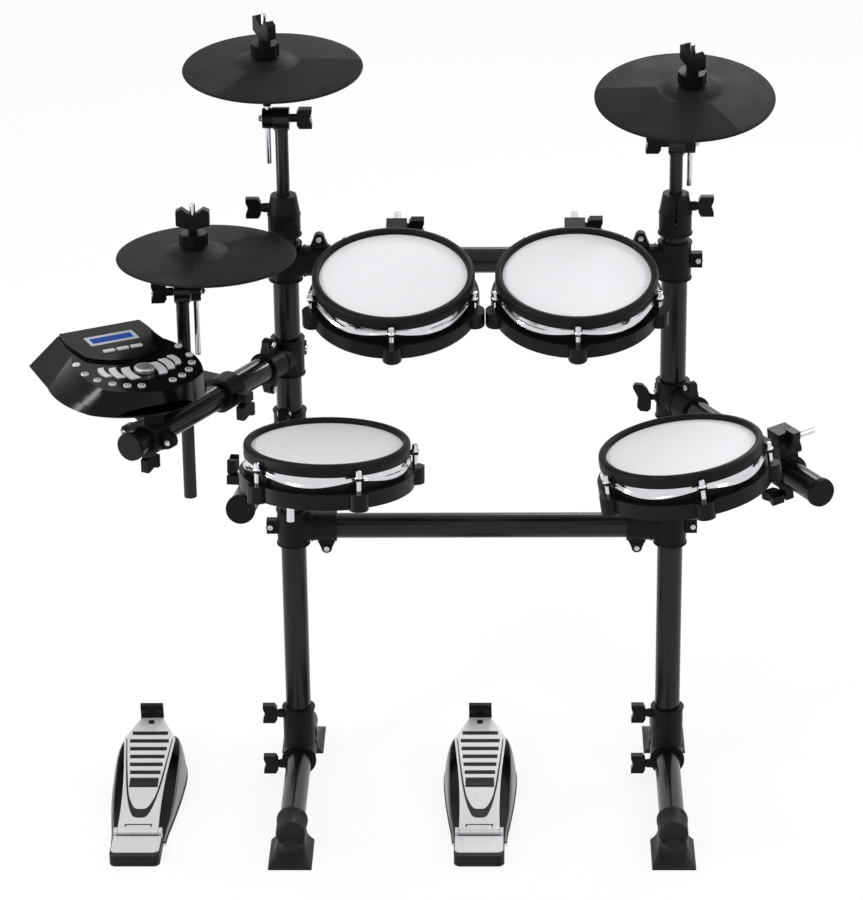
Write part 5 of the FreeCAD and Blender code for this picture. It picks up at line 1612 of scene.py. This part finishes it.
@dataclass
class Studio:
    """Pale floor, soft lamps and the camera at the photo's angle."""

    camera_at: Point = (48.0, -4846.0, 2646.0)
    yaw: float = -1.44
    pitch: float = 23.42
    roll: float = 0.72
    focal_px: float = 3542.0
    image_h: float = 900.0
    sensor: float = 36.0
    clip_end: float = 100.0
    world_light: float = 0.72
    floor_half: float = 30.0
    floor_glow: float = 0.86
    aim: Point = (0.0, -0.1, 0.6)
    lamps: tuple[Lamp, ...] = (
        Lamp("key", (-2.6, -2.8, 3.4), (0.5, 0.5), 52.0), Lamp("fill", (3.0, -2.2, 2.4), (0.8, 0.8), 22.0),
        Lamp("back", (0.6, 3.0, 3.0), (1.2, 0.8), 28.0), Lamp("side", (2.3, 1.5, 2.6), (0.4, 0.4), 24.0),
        Lamp("strip", (-3.0, -0.85, 0.7), (0.3, 1.4), 40.0))

    def build(self) -> None:
        """Set up light, floor and camera."""
        bpy.context.scene.view_settings.view_transform = "Standard"
        self.world()
        self.floor()
        for lamp in self.lamps:
            self.light(lamp)
        self.camera()

    def seen(self, tree: bpy.types.NodeTree) -> bpy.types.NodeSocket:
        """Args:
            tree: The node tree that asks.

        Returns:
            One where a camera, glossy or transmission ray looks, else zero.
        """
        path = add_node(tree, "ShaderNodeLightPath")
        either = add_node(tree, "ShaderNodeMath", {
            0: path.outputs["Is Camera Ray"], 1: path.outputs["Is Glossy Ray"]}, operation="MAXIMUM")
        return add_node(tree, "ShaderNodeMath", {
            0: either.outputs["Value"], 1: path.outputs["Is Transmission Ray"]},
            operation="MAXIMUM").outputs["Value"]

    def world(self) -> None:
        """White where it is seen, a plain soft light elsewhere."""
        world = bpy.data.worlds.new("studio")
        world.use_nodes = True
        bpy.context.scene.world = world
        tree = world.node_tree
        tree.nodes.clear()
        strength = add_node(tree, "ShaderNodeMapRange", {
            "Value": self.seen(tree), "To Min": self.world_light, "To Max": 1.0})
        shade = add_node(tree, "ShaderNodeBackground", {
            "Color": linear("#ffffff"), "Strength": strength.outputs["Result"]})
        add_node(tree, "ShaderNodeOutputWorld", {"Surface": shade.outputs["Background"]})

    def floor(self) -> None:
        """White floor that keeps a faint shadow."""
        mesh = bpy.data.meshes.new("floor")
        half = self.floor_half
        mesh.from_pydata([(x, y, 0) for x, y in rectangle(half, -half, half)], [], [(0, 1, 2, 3)])
        material = bpy.data.materials.new("floor_white")
        material.use_nodes = True
        tree = material.node_tree
        tree.nodes.clear()
        share = add_node(tree, "ShaderNodeMath", {0: self.seen(tree), 1: self.floor_glow},
                         operation="MULTIPLY")
        matte = add_node(tree, "ShaderNodeBsdfDiffuse", {"Color": linear("#f4f4f4")})
        glow = add_node(tree, "ShaderNodeEmission", {"Color": linear("#ffffff"), "Strength": 1.0})
        both = add_node(tree, "ShaderNodeMixShader", {
            0: share.outputs["Value"], 1: matte.outputs["BSDF"], 2: glow.outputs["Emission"]})
        add_node(tree, "ShaderNodeOutputMaterial", {"Surface": both.outputs["Shader"]})
        mesh.materials.append(material)
        placed("floor", mesh)

    def light(self, lamp: Lamp) -> None:
        """Args:
            lamp: The lamp.
        """
        data = bpy.data.lights.new(lamp.name, "AREA")
        data.shape = "RECTANGLE"
        data.size, data.size_y = lamp.size
        data.energy = lamp.power
        obj = placed(lamp.name, data)
        obj.location = lamp.at
        obj.rotation_euler = (Vector(self.aim) - Vector(lamp.at)).to_track_quat("-Z", "Y").to_euler()

    def camera(self) -> None:
        """The photo's camera, found by fitting the rack's tubes."""
        yaw, pitch, roll = (math.radians(a) for a in (self.yaw, self.pitch, self.roll))
        ahead = Vector((math.sin(yaw) * math.cos(pitch), math.cos(yaw) * math.cos(pitch), -math.sin(pitch)))
        level = Vector((math.cos(yaw), -math.sin(yaw), 0))
        down = ahead.cross(level)
        right = level * math.cos(roll) + down * math.sin(roll)
        low = down * math.cos(roll) - level * math.sin(roll)
        data = bpy.data.cameras.new("camera")
        data.sensor_width = self.sensor
        data.lens = self.focal_px * self.sensor / self.image_h
        data.clip_end = self.clip_end
        obj = placed("camera", data)
        axes = Matrix((right, -low, -ahead)).transposed().to_4x4()
        obj.matrix_world = Matrix.Translation(Vector(self.camera_at) * MM) @ axes
        bpy.context.scene.camera = obj


PADS = {
    "tom_left": Seat((-120.0, -178.12, 889.73), (0.0, 0.9681, 0.2504), (0.0, -0.2504, 0.9681)),
    "tom_right": Seat((138.0, -178.12, 889.73), (0.0, 0.9681, 0.2504), (0.0, -0.2504, 0.9681)),
    "floor_tom": Seat((279.89, -344.56, 696.56), (0.8693, 0.4819, 0.1097), (-0.1387, 0.0248, 0.99)),
    "snare": Seat((-207.42, -388.18, 722.12), (-0.3961, 0.9137, -0.0905), (0.0122, 0.1038, 0.9945)),
}
TILTS = {
    "crash_left": Seat((-283.65, 0.0, 1066.0), (1.0, 0.0, 0.0), (0.0, -0.0941, 0.9956)),
    "crash_right": Seat((283.65, 0.0, 1026.0), (-1.0, 0.0, 0.0), (0.0, -0.1994, 0.9799)),
    "hihat": Seat((-425.8, -107.9, 842.0), (-0.9945, -0.1045, 0.0), (0.0, 0.0, 1.0)),
}
CYMBALS = {
    "crash_left": Seat((-303.15, -7.81, 1148.63), (0.5592, -0.8254, -0.078), (0.0, -0.0941, 0.9956)),
    "crash_right": Seat((303.15, -16.55, 1107.33), (-0.5299, -0.831, -0.1691), (0.0, -0.1994, 0.9799)),
    "hihat": Seat((-406.4, -105.87, 897.0), (0.8988, -0.4384, 0.0), (0.0, 0.0, 1.0)),
}


def main() -> None:
    """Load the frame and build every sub-assembly."""
    logging.basicConfig(level=logging.INFO, format="%(name)s: %(message)s")
    shop = Workshop(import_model())
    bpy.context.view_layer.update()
    Studio().build()
    trim = ClampTrim()
    Rack(shop, trim).build()
    Arm(shop, trim, "module_arm", (-283.65, 0.0, 700.0), -120.4).build()
    Arm(shop, trim, "snare_arm", (-283.65, 0.0, 585.0), -96.7, 6.0).build()
    Arm(shop, trim, "floor_tom_arm", (283.65, 0.0, 630.0), -61.0, winged=True).build()
    for name, seat in PADS.items():
        Pad(shop, name, seat).build()
    for name in TILTS:
        Cymbal(shop, name, TILTS[name], CYMBALS[name]).build()
    SoundModule(shop, trim).build()
    for name, x in (("kick", -4.0), ("hihat", -514.5)):
        Pedal(shop, name, x).build()


if __name__ == "__main__":
    main()
